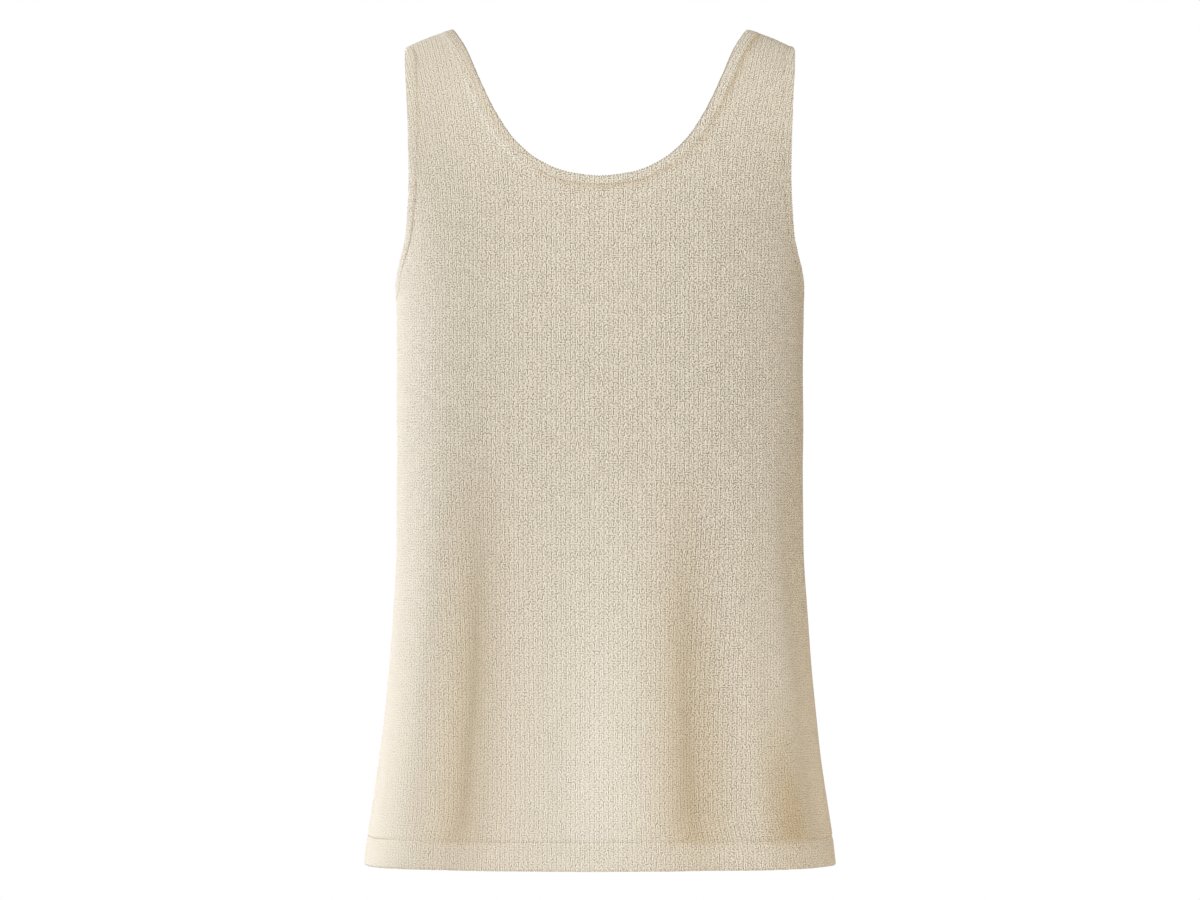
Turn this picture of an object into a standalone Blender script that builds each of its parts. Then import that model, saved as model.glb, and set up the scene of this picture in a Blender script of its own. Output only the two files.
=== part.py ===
"""Sleeveless knit top with a scooped neck, in its worn, hollow form.

Metres, +Z up. The front faces -Y and +X is to the right as the front is looked at.
The origin is where the wearer's shoulders carry it: on the centre line, at the height of the
shoulder seams' neck ends. Every piece is a closed wall on one shared body form. A place on that
form is a bearing (0 at the centre line, 90 degrees at a side seam) and a level (the way down the
cloth from the shoulder seam); it is one function for the front and for the back.
"""

import math

import bmesh
import bpy
import numpy as np

MM = 0.001
FRONT = -1
BACK = 1

# The body form, a row for each section from the shoulder seam down to the hem, in millimetres.
# half_width is what the front view shows: to the armhole's edge above the underarm, to the side
# seam below it. The depths are at the centre line, forward and backward of the side seams.
SECTION_COLUMNS = ("level", "height", "half_width", "front_depth", "back_depth")
SECTION_ROWS = (
    (0.0, 0.0, 136.2, 0.0, 0.0),
    (12.0, -1.8, 136.0, 14.5, 14.5),
    (26.0, -8.2, 135.8, 30.0, 30.5),
    (44.0, -19.5, 135.4, 46.5, 48.0),
    (70.0, -39.5, 134.4, 65.5, 68.0),
    (102.0, -67.5, 133.4, 82.0, 84.0),
    (140.0, -103.0, 132.8, 95.5, 96.0),
    (180.0, -141.5, 134.8, 106.5, 103.5),
    (221.5, -182.0, 142.5, 114.0, 108.0),
    (260.0, -220.0, 142.2, 118.0, 110.0),
    (330.0, -290.0, 142.0, 118.5, 110.5),
    (400.0, -360.0, 142.8, 118.5, 112.0),
    (470.0, -430.0, 147.3, 119.5, 114.5),
    (540.0, -500.0, 154.5, 121.5, 117.5),
    (590.0, -549.5, 161.7, 123.5, 120.0),
    (625.0, -584.0, 166.0, 124.5, 121.5),
)
SQUARENESS = 0.23

# The neck opening as the front view shows it, from the shoulder seam to the centre line.
NECK_COLUMNS = ("drop", "half_width")
NECK_ROWS = (
    (0.0, 102.0),
    (14.5, 93.5),
    (36.5, 84.0),
    (58.5, 73.4),
    (78.7, 59.9),
    (94.0, 41.9),
    (102.2, 21.6),
    (104.8, 0.0),
)
BACK_NECK_EASE = 3.0 * MM

# The shoulder seam falls from the neck to the armhole, steeper as it goes out.
SHOULDER_FALL = 12.7 * MM
SHOULDER_CURVE = 1.7
SHOULDER_FADE_LEVEL = 150.0 * MM

# The armhole is a quarter ellipse of bearing and level, from the underarm to the shoulder.
UNDERARM_LEVEL = 221.5 * MM
ARMHOLE_SPAN = math.radians(38.0)

# Cloth.
PANEL_THICKNESS = 1.6 * MM
HEM_THICKNESS = 2.8 * MM
HEM_DEPTH = 20.5 * MM
HEM_LEVEL = 625.0 * MM
HEM_ROUNDING = 2.2 * MM
STITCH_GROOVE = 0.5 * MM
STITCH_GROOVE_WIDTH = 1.5 * MM
SEAM_GAP = 0.3 * MM
BAND_RISE = 0.5 * MM
BAND_THICKNESS = 2.7 * MM
NECK_BAND_SHOULDER = 9.5 * MM
NECK_BAND_CENTRE = 6.5 * MM
ARMHOLE_BAND = 8.0 * MM

# The largest folds, a row for each, in degrees of bearing and millimetres. Bearings run from the
# centre front, positive to the right, to 180 at the centre back. A fold starts at one height,
# has its whole depth from another and keeps it to the hem; a negative depth is a trough.
FOLD_COLUMNS = ("bearing_top", "bearing_hem", "start", "whole", "width", "depth")
FOLD_ROWS = (
    (-42.0, -43.0, -235.0, -500.0, 7.5, -7.5),
    (24.0, 25.0, -262.0, -480.0, 5.5, -7.0),
    (-3.0, -4.5, -270.0, -520.0, 13.0, 5.0),
    (38.0, 39.5, -300.0, -520.0, 6.5, 3.0),
    (53.0, 67.0, -230.0, -380.0, 7.0, -5.0),
    (-58.0, -60.0, -260.0, -520.0, 9.0, 3.0),
    (-88.0, -84.0, -330.0, -540.0, 8.0, -3.0),
    (100.0, 96.0, -330.0, -540.0, 9.0, -3.0),
    (128.0, 133.0, -260.0, -500.0, 6.5, -6.0),
    (152.0, 156.0, -300.0, -540.0, 9.0, 3.5),
    (-176.0, -172.0, -230.0, -500.0, 6.0, -5.5),
    (-150.0, -148.0, -300.0, -540.0, 10.0, 4.0),
    (-120.0, -124.0, -250.0, -520.0, 7.0, -6.0),
)
HEM_FOLD_SHARE = 0.6

# Mesh density: the levels of the strap rows, then counts.
STRAP_LEVELS = tuple(level * MM for level in (0, 9, 19, 31, 46, 64, 83, 102))
YOKE_ROWS = 8
FLAT_LEVEL = 262.0 * MM
BODY_ROWS = 17
STRAP_COLUMNS = 5
NECK_HALF_COLUMNS = 9
BAND_SIDES = 8
BAND_SQUARING = 0.45
CURVE_SAMPLES = 241

CREAM = (0.72, 0.66, 0.53, 1.0)
CREAM_BAND = (0.69, 0.63, 0.50, 1.0)


def columns(names, rows):
    """A table as a dictionary with an array for each named column."""
    return dict(zip(names, np.array(rows, dtype=float).T))


SECTIONS = columns(SECTION_COLUMNS, SECTION_ROWS)
NECK = columns(NECK_COLUMNS, NECK_ROWS)
FOLDS = [dict(zip(FOLD_COLUMNS, row)) for row in FOLD_ROWS]


def smooth_step(start, end, value):
    share = np.clip((value - start) / (end - start), 0.0, 1.0)
    return share * share * (3.0 - 2.0 * share)


def smooth_curve(knots, values, at):
    """A curve through knots and values that is smooth and never overshoots a value."""
    step = np.diff(knots)
    slope = np.diff(values) / step
    before, after = slope[:-1], slope[1:]
    same_way = before * after > 0.0
    safe = np.where(same_way, before + after, 1.0)
    inner = np.where(same_way, 2.0 * before * after / safe, 0.0)
    tangent = np.concatenate(([slope[0]], inner, [slope[-1]]))
    index = np.clip(np.searchsorted(knots, at) - 1, 0, len(step) - 1)
    share = (at - knots[index]) / step[index]
    rise = values[index + 1] - values[index]
    first = tangent[index] * step[index]
    last = tangent[index + 1] * step[index]
    cubic = first + last - 2.0 * rise
    square = 3.0 * rise - 2.0 * first - last
    return values[index] + share * (first + share * (square + share * cubic))


def section(name, level, odd=False):
    """A column of the section table at a level, carried over the shoulder as a mirror image."""
    knots = SECTIONS["level"] * MM
    values = SECTIONS[name] * MM
    mirrored = -values if odd else values
    knots = np.concatenate((-knots[:0:-1], knots))
    values = np.concatenate((mirrored[:0:-1], values))
    return smooth_curve(knots, values, np.asarray(level, dtype=float))


def armhole_bearing(level):
    """Bearing of the armhole's edge at a level, a right angle from the underarm down."""
    share = np.clip(level / UNDERARM_LEVEL, 0.0, 1.0)
    return 0.5 * math.pi - ARMHOLE_SPAN * np.sqrt(1.0 - share * share)


def shoulder_drop(x, level):
    """How far the sloping shoulder lowers the form at x, fading out down the chest."""
    neck, tip = NECK["half_width"][0] * MM, SECTIONS["half_width"][0] * MM
    way_out = np.maximum((np.abs(x) - neck) / (tip - neck), 0.0)
    fall = SHOULDER_FALL * way_out ** SHOULDER_CURVE
    return -fall * (1.0 - smooth_step(0.0, SHOULDER_FADE_LEVEL, level))


def fold_relief(side, bearing, height):
    """How far the folds move the cloth outward."""
    around = np.degrees(bearing if side == FRONT else math.pi - bearing)
    relief = np.zeros_like(height)
    for fold in FOLDS:
        top, hem = fold["start"] * MM, SECTIONS["height"][-1] * MM
        share = np.clip((height - top) / (hem - top), 0.0, 1.0)
        middle = fold["bearing_top"] + (fold["bearing_hem"] - fold["bearing_top"]) * share
        away = (around - middle + 180.0) % 360.0 - 180.0
        growth = smooth_step(top, fold["whole"] * MM, height)
        relief += fold["depth"] * MM * growth * np.exp(-(away / fold["width"]) ** 2)
    hem_top = SECTIONS["height"][-1] * MM + HEM_DEPTH
    in_hem = smooth_step(hem_top + HEM_DEPTH, hem_top - 0.5 * HEM_DEPTH, height)
    return relief * (1.0 + (HEM_FOLD_SHARE - 1.0) * in_hem)


def form_point(side, bearing, level):
    """The cloth's outer face at a bearing and level of the front or the back."""
    depth_name = "front_depth" if side == FRONT else "back_depth"
    depth = section(depth_name, level, odd=True)
    radius = section("half_width", level) / np.sin(armhole_bearing(level))
    across, along = np.sin(bearing), np.cos(bearing)
    x = radius * across
    y = side * depth * along * (1.0 + SQUARENESS * across * across)
    height = section("height", level)
    relief = fold_relief(side, bearing, height)
    z = height + shoulder_drop(x, level)
    return np.stack((x + relief * across, y + side * relief * along, z), axis=-1)


def form_slopes(side, bearing, level):
    """How a point of the form moves with bearing and with level."""
    tiny = 1e-4
    by_bearing = form_point(side, bearing + tiny, level) - form_point(side, bearing - tiny, level)
    ahead, behind = level + tiny, np.maximum(level - tiny, 0.0)
    by_level = form_point(side, bearing, ahead) - form_point(side, bearing, behind)
    return by_bearing / (2.0 * tiny), by_level / (ahead - behind)[..., None]


def form_normal(side, bearing, level):
    """The way out of the form; it lies in the seam's plane at the side and shoulder seams."""
    by_bearing, by_level = form_slopes(side, bearing, level)
    normal = np.cross(by_bearing, by_level) * side
    on_seam = (np.abs(bearing) > 0.5 * math.pi - 1e-6) | (level < 1e-9)
    normal[..., 1] = np.where(on_seam, 0.0, normal[..., 1])
    return normal / np.linalg.norm(normal, axis=-1, keepdims=True)


def moved_in(side, edge, distance):
    """An edge's bearings and levels, moved into the cloth by a distance along the form."""
    bearing, level = edge
    points = form_point(side, bearing, level)
    along = np.gradient(points, axis=0)
    inward = np.cross(along, form_normal(side, bearing, level))
    inward *= distance[:, None] / np.linalg.norm(inward, axis=1, keepdims=True)
    by_bearing, by_level = form_slopes(side, bearing, level)
    aa = np.sum(by_bearing * by_bearing, axis=1)
    ab = np.sum(by_bearing * by_level, axis=1)
    bb = np.sum(by_level * by_level, axis=1)
    a = np.sum(by_bearing * inward, axis=1)
    b = np.sum(by_level * inward, axis=1)
    span = aa * bb - ab * ab
    moved = np.stack((bearing + (a * bb - b * ab) / span, level + (b * aa - a * ab) / span))
    moved[1][level < 1e-9] = 0.0
    return moved


def level_at(x, z):
    """The level whose height at x is z."""
    levels = np.linspace(0.0, UNDERARM_LEVEL, CURVE_SAMPLES)
    found = []
    for x_one, z_one in zip(x, z):
        heights = section("height", levels) + shoulder_drop(x_one, levels)
        found.append(np.interp(-z_one, -heights, levels))
    return np.array(found)


def neck_edge(side):
    """Bearings and levels of the right half of the neck opening, shoulder to centre line."""
    drop = np.concatenate((NECK["drop"], NECK["drop"][-2::-1])) * MM
    half_width = np.concatenate((NECK["half_width"], -NECK["half_width"][-2::-1])) * MM
    chord = np.hypot(np.diff(drop), np.diff(half_width))
    way = np.concatenate(([0.0], np.cumsum(chord)))
    at = np.linspace(0.0, way[len(NECK_ROWS) - 1], CURVE_SAMPLES)
    z = -smooth_curve(way, drop, at)
    x = smooth_curve(way, half_width, at)
    if side == BACK:
        x = x + BACK_NECK_EASE * np.sin(math.pi * z / z[-1])
    x[-1] = 0.0
    level = level_at(x, z)
    level[0] = 0.0
    radius = section("half_width", level) / np.sin(armhole_bearing(level))
    return np.stack((np.arcsin(x / radius), level))


def armhole_edge():
    """Bearings and levels of the right armhole's edge, from the shoulder to the side seam."""
    turn = np.linspace(0.5 * math.pi, 0.0, CURVE_SAMPLES)
    level = UNDERARM_LEVEL * np.cos(turn)
    level[0] = 0.0
    return np.stack((armhole_bearing(level), level))


def edge_rails(side, edge, widths, inward):
    """An opening's edge, its band's seam and the panel's edge, as matching samples."""
    seam = moved_in(side, edge, inward * widths)
    panel = moved_in(side, edge, inward * (widths + SEAM_GAP))
    return {"edge": edge, "seam": seam, "panel": panel}


def rail_at(rail, index):
    """A rail's bearing and level at fractions of its sample numbers."""
    numbers = np.arange(rail.shape[1])
    return np.stack([np.interp(index, numbers, row) for row in rail])


def index_at_levels(rail, levels):
    """Where along a rail that goes steadily down each level is met."""
    return np.interp(levels, rail[1], np.arange(rail.shape[1]))


def side_rails(side):
    """The neck's and the armhole's rails of the front or the back, right half."""
    neck = neck_edge(side)
    lowest = neck[1] / neck[1][-1]
    neck_width = NECK_BAND_SHOULDER + (NECK_BAND_CENTRE - NECK_BAND_SHOULDER) * lowest
    armhole = armhole_edge()
    armhole_width = np.full(CURVE_SAMPLES, ARMHOLE_BAND)
    rails = {
        "neck": edge_rails(side, neck, neck_width, side),
        "armhole": edge_rails(side, armhole, armhole_width, -side),
    }
    for name in ("seam", "panel"):
        rails["neck"][name][0][-1] = 0.0
        rails["armhole"][name][0][-1] = 0.5 * math.pi
    return rails


def stations(side):
    """The rails with the sample numbers where the mesh's rows and columns meet them."""
    rails = side_rails(side)
    neck, armhole = rails["neck"]["panel"], rails["armhole"]["panel"]
    strap_end = STRAP_LEVELS[-1]
    turn = np.linspace(0.0, 0.5 * math.pi, YOKE_ROWS + 1)
    yoke_levels = strap_end + (armhole[1][-1] - strap_end) * np.sin(turn)
    rails["yoke_levels"] = yoke_levels
    strap_index = index_at_levels(neck, STRAP_LEVELS)
    dense = np.linspace(strap_index[-1], CURVE_SAMPLES - 1, CURVE_SAMPLES)
    points = form_point(side, *rail_at(neck, dense))
    way = np.concatenate(([0.0], np.cumsum(np.linalg.norm(np.diff(points, axis=0), axis=1))))
    evenly = np.linspace(0.0, way[-1], NECK_HALF_COLUMNS + 1)
    rails["neck_index"] = np.concatenate((strap_index, np.interp(evenly, way, dense)[1:]))
    arm_levels = np.concatenate((STRAP_LEVELS, yoke_levels[1:]))
    rails["armhole_index"] = index_at_levels(armhole, arm_levels)
    return rails


def strap_grid(rails):
    """Bearings and levels of the right strap, a row for each level, neck edge to armhole."""
    rows = len(STRAP_LEVELS)
    neck = rail_at(rails["neck"]["panel"], rails["neck_index"][:rows])
    armhole = rail_at(rails["armhole"]["panel"], rails["armhole_index"][:rows])
    share = np.linspace(0.0, 1.0, STRAP_COLUMNS + 1)
    return neck[:, :, None] * (1.0 - share) + armhole[:, :, None] * share


def body_grid(rails, strap):
    """Bearings and levels from the straps' lower ends to the hem, left to right.

    The first row follows the neck. The rows then straighten down to FLAT_LEVEL, and their ends
    follow the armhole and the side seam.
    """
    rows = len(STRAP_LEVELS)
    scoop = rail_at(rails["neck"]["panel"], rails["neck_index"][rows - 1:])
    half = np.concatenate((scoop[:, ::-1], strap[:, -1, 1:]), axis=1)
    left = half[:, :0:-1] * np.array([[-1.0], [1.0]])
    first = np.concatenate((left, half), axis=1)
    across = np.linspace(-1.0, 1.0, first.shape[1])
    straight = across * 0.5 * math.pi
    start = first[1][-1]
    below = np.linspace(rails["yoke_levels"][-1], FLAT_LEVEL, 3)[1:]
    side_levels = np.concatenate((rails["yoke_levels"], below))
    armhole = rails["armhole"]["panel"]
    bearings, levels = [], []
    for level in side_levels:
        share = (level - start) / (FLAT_LEVEL - start)
        end = np.interp(level, armhole[1], armhole[0])
        mixed = (1.0 - share) * first[0] + share * straight
        bearings.append(mixed + across * (end - mixed[-1]))
        levels.append((1.0 - share) * first[1] + share * FLAT_LEVEL)
    for level in hem_levels():
        bearings.append(straight)
        levels.append(np.full_like(straight, level))
    return np.stack((bearings, levels))


def hem_levels():
    """Row levels from below FLAT_LEVEL to the hem's lower edge, closer at its stitch line."""
    stitch = HEM_LEVEL - HEM_DEPTH
    plain = np.linspace(FLAT_LEVEL, stitch - 3.0 * MM, BODY_ROWS)[1:]
    close = np.array((stitch, stitch + 3.0 * MM, HEM_LEVEL - 8.0 * MM))
    edge = HEM_LEVEL - np.array((1.0, 0.36, 0.0)) * HEM_ROUNDING
    return np.concatenate((plain, close, edge))


def wall_offsets(level):
    """How far the outer and inner faces lie from the form: thicker and rounded at the hem."""
    stitch = HEM_LEVEL - HEM_DEPTH
    outer = -STITCH_GROOVE * np.exp(-((level - stitch) / STITCH_GROOVE_WIDTH) ** 2)
    doubled = smooth_step(stitch - 2.0 * MM, stitch + 1.0 * MM, level)
    inner = -PANEL_THICKNESS - (HEM_THICKNESS - PANEL_THICKNESS) * doubled
    to_edge = np.clip(1.0 - (HEM_LEVEL - level) / HEM_ROUNDING, 0.0, 1.0)
    rounding = 0.35 * HEM_THICKNESS * to_edge * to_edge
    return outer - rounding, inner + rounding


def closed_wall(outer, inner, faces):
    """Vertices and faces of a wall from two matching sheets and the faces of the outer one."""
    count = len(outer)
    used = {}
    for face in faces:
        for start, end in zip(face, face[1:] + face[:1]):
            used[(start, end)] = face
    rims = [(end, start, start + count, end + count)
            for start, end in used if (end, start) not in used]
    lining = [tuple(index + count for index in reversed(face)) for face in faces]
    return np.concatenate((outer, inner)), list(faces) + lining + rims


def grid_faces(numbers):
    """Faces of a grid of vertex numbers, row by row."""
    faces = []
    for upper, lower in zip(numbers, numbers[1:]):
        for column in range(len(upper) - 1):
            faces.append((upper[column], lower[column], lower[column + 1], upper[column + 1]))
    return faces


def panel_mesh(side):
    """The wall of the front or the back."""
    rails = stations(side)
    strap = strap_grid(rails)
    body = body_grid(rails, strap)
    rows, width = len(STRAP_LEVELS), STRAP_COLUMNS + 1
    body_numbers = np.arange(body[0].size).reshape(body[0].shape)
    spare = (rows - 1) * width
    right_new = body[0].size + np.arange(spare).reshape(rows - 1, width)
    left_new = right_new + spare
    right = np.concatenate((right_new, body_numbers[:1, -width:]))
    left = np.concatenate((left_new, body_numbers[:1, :width]))
    left_strap = strap[:, :-1, ::-1] * np.array([-1.0, 1.0])[:, None, None]
    bearing = np.concatenate((body[0].ravel(), strap[0, :-1].ravel(), left_strap[0].ravel()))
    level = np.concatenate((body[1].ravel(), strap[1, :-1].ravel(), left_strap[1].ravel()))
    faces = []
    for numbers in (body_numbers, right, left):
        faces += grid_faces(numbers.tolist())
    points = form_point(side, bearing, level)
    points[:, 1] += side * 0.5 * SEAM_GAP
    normal = form_normal(side, bearing, level)
    outer_out, inner_out = wall_offsets(level)
    outer = points + normal * outer_out[:, None]
    inner = points + normal * inner_out[:, None]
    return closed_wall(outer, inner, faces)


def band_section():
    """A band's section: shares across its width, and heights over the form, going round."""
    turn = (np.arange(BAND_SIDES) + 0.5) * 2.0 * math.pi / BAND_SIDES
    across = np.sign(np.cos(turn)) * np.abs(np.cos(turn)) ** BAND_SQUARING
    across = 0.5 + 0.5 * across / across.max()
    lift = np.sign(np.sin(turn)) * np.abs(np.sin(turn)) ** BAND_SQUARING
    lift = lift / lift.max()
    middle = BAND_RISE - 0.5 * BAND_THICKNESS
    return across, middle + 0.5 * BAND_THICKNESS * lift


def band_stretch(side, rails, index, mirror):
    """Sections of a band along one side's rails: an array of stations, corners and x, y, z."""
    edge = rail_at(rails["edge"], index)
    seam = rail_at(rails["seam"], index)
    across, lift = band_section()
    place = edge[:, :, None] * (1.0 - across) + seam[:, :, None] * across
    bearing = place[0] * mirror
    level = place[1]
    points = form_point(side, bearing, level)
    return points + form_normal(side, bearing, level) * lift[:, None]


def ring_mesh(sections):
    """The closed solid of a band from its sections in order round the opening."""
    count, corners = sections.shape[:2]
    numbers = np.arange(count * corners).reshape(count, corners)
    numbers = np.concatenate((numbers, numbers[:1]))
    numbers = np.concatenate((numbers, numbers[:, :1]), axis=1)
    return sections.reshape(-1, 3), grid_faces(numbers.tolist())


def neck_band_mesh():
    """The band round the neck: right front, left front, left back, right back."""
    stretches = []
    for side in (FRONT, BACK):
        rails = stations(side)
        index = rails["neck_index"]
        right = band_stretch(side, rails["neck"], index, 1.0)
        left = band_stretch(side, rails["neck"], index, -1.0)
        stretches.append(np.concatenate((right, left[-2::-1])))
    front, back = stretches
    return ring_mesh(np.concatenate((front, back[-2:0:-1])))


def armhole_band_mesh(mirror):
    """The band round one armhole: down the front from the shoulder, and up the back."""
    stretches = []
    for side in (FRONT, BACK):
        rails = stations(side)
        stretches.append(band_stretch(side, rails["armhole"], rails["armhole_index"], mirror))
    front, back = stretches
    return ring_mesh(np.concatenate((front, back[-2:0:-1])))


def knit_material(name, colour):
    material = bpy.data.materials.new(name)
    material.use_nodes = True
    principled = material.node_tree.nodes["Principled BSDF"]
    principled.inputs["Base Color"].default_value = colour
    principled.inputs["Roughness"].default_value = 0.92
    principled.inputs["Metallic"].default_value = 0.0
    material.diffuse_color = colour
    return material


def add_piece(name, mesh_data, colour):
    """A named object with its own material, its faces turned outward and shaded smooth."""
    points, faces = mesh_data
    mesh = bpy.data.meshes.new(name)
    mesh.from_pydata(points.tolist(), [], faces)
    solid = bmesh.new()
    solid.from_mesh(mesh)
    bmesh.ops.recalc_face_normals(solid, faces=solid.faces)
    solid.to_mesh(mesh)
    solid.free()
    mesh.shade_smooth()
    mesh.set_sharp_from_angle(angle=math.radians(50.0))
    mesh.materials.append(knit_material(name + "_knit", colour))
    piece = bpy.data.objects.new(name, mesh)
    bpy.context.scene.collection.objects.link(piece)
    return piece


def main():
    for leftover in list(bpy.data.objects):
        bpy.data.objects.remove(leftover, do_unlink=True)
    add_piece("front", panel_mesh(FRONT), CREAM)
    add_piece("back", panel_mesh(BACK), CREAM)
    add_piece("neck_band", neck_band_mesh(), CREAM_BAND)
    add_piece("armhole_band_right", armhole_band_mesh(1.0), CREAM_BAND)
    add_piece("armhole_band_left", armhole_band_mesh(-1.0), CREAM_BAND)


main()
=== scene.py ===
"""A sleeveless knit top with a scooped neck, in its worn, hollow form.

Metres, +Z up, the front facing -Y. Both panels and all three bands lie on one body form, where a
place is a bearing (0 at the centre line, 90 degrees at a side seam) and a level (the way down the
cloth from the shoulder seam). Run as a script, it makes every piece and the stage.
"""

import math

import bmesh
import bpy
import numpy as np
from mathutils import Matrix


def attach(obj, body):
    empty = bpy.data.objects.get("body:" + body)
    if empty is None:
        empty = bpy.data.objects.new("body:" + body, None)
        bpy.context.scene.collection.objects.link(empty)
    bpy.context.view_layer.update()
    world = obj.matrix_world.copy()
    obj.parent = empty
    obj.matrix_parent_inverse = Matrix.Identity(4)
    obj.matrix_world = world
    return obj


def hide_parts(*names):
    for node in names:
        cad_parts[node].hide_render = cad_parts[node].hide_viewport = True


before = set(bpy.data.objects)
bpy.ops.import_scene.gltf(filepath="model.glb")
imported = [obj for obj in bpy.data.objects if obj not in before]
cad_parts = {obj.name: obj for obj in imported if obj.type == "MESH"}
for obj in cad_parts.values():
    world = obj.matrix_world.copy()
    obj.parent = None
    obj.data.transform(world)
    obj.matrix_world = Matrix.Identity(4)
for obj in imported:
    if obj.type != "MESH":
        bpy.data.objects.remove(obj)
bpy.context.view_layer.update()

bl_info = {
    "name": "Knit Top",
    "version": (1, 0, 0),
    "blender": (4, 5, 0),
    "location": "3D View > Sidebar > Knit Top",
    "description": "Makes a sleeveless knit top, its sewing and a plain studio stage",
    "category": "Object",
}

MM = 0.001
FRONT = -1
BACK = 1

# The body form, a row for each section from the shoulder seam down to the hem, in millimetres.
# half_width is what the front view shows: to the armhole's edge above the underarm, to the side
# seam below it. The depths are at the centre line, forward and backward of the side seams.
SECTION_COLUMNS = ("level", "height", "half_width", "front_depth", "back_depth")
SECTION_ROWS = (
    (0.0, 0.0, 136.2, 0.0, 0.0),
    (12.0, -1.8, 136.0, 14.5, 14.5),
    (26.0, -8.2, 135.8, 30.0, 30.5),
    (44.0, -19.5, 135.4, 46.5, 48.0),
    (70.0, -39.5, 134.4, 65.5, 68.0),
    (102.0, -67.5, 133.4, 82.0, 84.0),
    (140.0, -103.0, 132.8, 95.5, 96.0),
    (180.0, -141.5, 134.8, 106.5, 103.5),
    (221.5, -182.0, 142.5, 114.0, 108.0),
    (260.0, -220.0, 142.2, 118.0, 110.0),
    (330.0, -290.0, 142.0, 118.5, 110.5),
    (400.0, -360.0, 142.8, 118.5, 112.0),
    (470.0, -430.0, 147.3, 119.5, 114.5),
    (540.0, -500.0, 154.5, 121.5, 117.5),
    (590.0, -549.5, 161.7, 123.5, 120.0),
    (625.0, -584.0, 166.0, 124.5, 121.5),
)
SQUARENESS = 0.23

# The neck opening as the front view shows it, from the shoulder seam to the centre line.
NECK_COLUMNS = ("drop", "half_width")
NECK_ROWS = (
    (0.0, 102.0),
    (14.5, 93.5),
    (36.5, 84.0),
    (58.5, 73.4),
    (78.7, 59.9),
    (94.0, 41.9),
    (102.2, 21.6),
    (104.8, 0.0),
)
BACK_NECK_EASE = 3.0 * MM

# The shoulder seam falls from the neck to the armhole, steeper as it goes out. Both of its ends are
# rounded. The fall and the rounding fade out down the cloth.
SHOULDER_FALL = 12.7 * MM
SHOULDER_CURVE = 1.35
SHOULDER_FADE_LEVEL = 150.0 * MM
NECK_CORNER = 1.3 * MM
TIP_CORNER = 2.6 * MM
CORNER_FADE_LEVEL = 30.0 * MM

# The armhole is a quarter ellipse of bearing and level, from the underarm to the shoulder.
UNDERARM_LEVEL = 221.5 * MM
ARMHOLE_SPAN = math.radians(38.0)

HEM_LEVEL = 625.0 * MM
HEM_ROUNDING = 2.2 * MM
NECK_BAND_SHOULDER = 9.5 * MM
NECK_BAND_CENTRE = 6.5 * MM
ARMHOLE_BAND = 8.0 * MM

# Along a seam the wall rolls inward, and along the hem's stitches it is drawn in.
SEAM_ROLL = 1.2
SEAM_ROLL_SPREAD = 1.6 * MM
GROOVE_SPREAD = 1.3 * MM
TACK_DROP = 1.2 * MM
TACK_ENDS = (-14.0 * MM, 6.0 * MM)
PATH_STEP = 2.0 * MM

# The folds, a row for each, in degrees of bearing and millimetres. Bearings run from the centre front,
# positive to the right, to 180 at the centre back. A fold starts at one height, has its whole depth
# from another and keeps it down to the hem, which flattens it. A negative depth is a trough. The tone
# is painted shade in the fold, below 0 a painted highlight on its crest. The row with no depth is
# painted shade alone, with no fold under it.
FOLD_COLUMNS = ("bearing_top", "bearing_hem", "start", "whole", "width", "depth", "tone")
FOLD_ROWS = (
    (-41.5, -41.6, -235.0, -450.0, 7.8, -9.3, 0.95),
    (-46.0, -47.0, -300.0, -540.0, 10.0, -3.0, 0.0),
    (28.2, 28.2, -270.0, -450.0, 7.1, -11.0, 0.75),
    (30.0, 26.5, -370.0, -560.0, 9.5, -3.4, 0.4),
    (-2.5, -3.5, -280.0, -540.0, 9.0, 8.0, -0.5),
    (40.0, 41.5, -300.0, -520.0, 6.5, 3.5, 0.0),
    (68.0, 73.0, -230.0, -380.0, 9.0, -4.5, 0.25),
    (58.0, 58.0, -440.0, -560.0, 8.0, 0.0, 1.5),
    (-88.0, -84.0, -330.0, -540.0, 8.0, -3.0, 0.0),
    (100.0, 96.0, -330.0, -540.0, 9.0, -3.0, 0.0),
    (128.0, 133.0, -260.0, -470.0, 5.0, -8.0, 0.8),
    (152.0, 156.0, -300.0, -520.0, 9.0, 4.0, 0.0),
    (-176.0, -172.0, -240.0, -450.0, 5.0, -7.5, 0.8),
    (-150.0, -148.0, -300.0, -520.0, 11.0, 4.5, 0.0),
    (-120.0, -124.0, -250.0, -480.0, 5.4, -8.0, 0.8),
)
HEM_FOLD_SHARE = 0.45

# A fold's painted shade spreads wider than the fold, leans toward the centre line and fades in the hem.
# The right flank has painted shade of its own. So has the knit beside the bands' seams, with a painted
# highlight beside the left strap's neck seam.
PAINTED_SHADE_SPREAD = 1.25
PAINTED_SHADE_SHIFT = 3.2
HEM_PAINTED_SHADE_FADE = 0.6
# Painted shade on the right flank: the bearings where it starts, is whole, starts to fade and is gone,
# and its strength.
FLANK_BEARINGS = (52.0, 86.0, 100.0, 130.0)
FLANK_PAINTED_SHADE = 0.85
# Painted shade beside the bands' seams: its spread, the neck seam's places along x with its strength at
# each (below 0 a painted highlight), the back's and the armholes' strengths, and the lowest height it
# reaches.
SEAM_SPREAD = 2.7 * MM
NECK_SEAM_PLACES = (-100.0, -84.0, -62.0, -40.0, 0.0, 40.0, 66.0, 100.0)
NECK_SEAM_PAINTED_SHADES = (-0.4, -0.7, -0.7, 0.2, 0.8, 0.4, 0.45, 1.0)
BACK_SEAM_PAINTED_SHADE = 0.8
ARMHOLE_SEAM_PAINTED_SHADE = 0.4
LOWEST_SEAM_HEIGHT = -160.0 * MM

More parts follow.
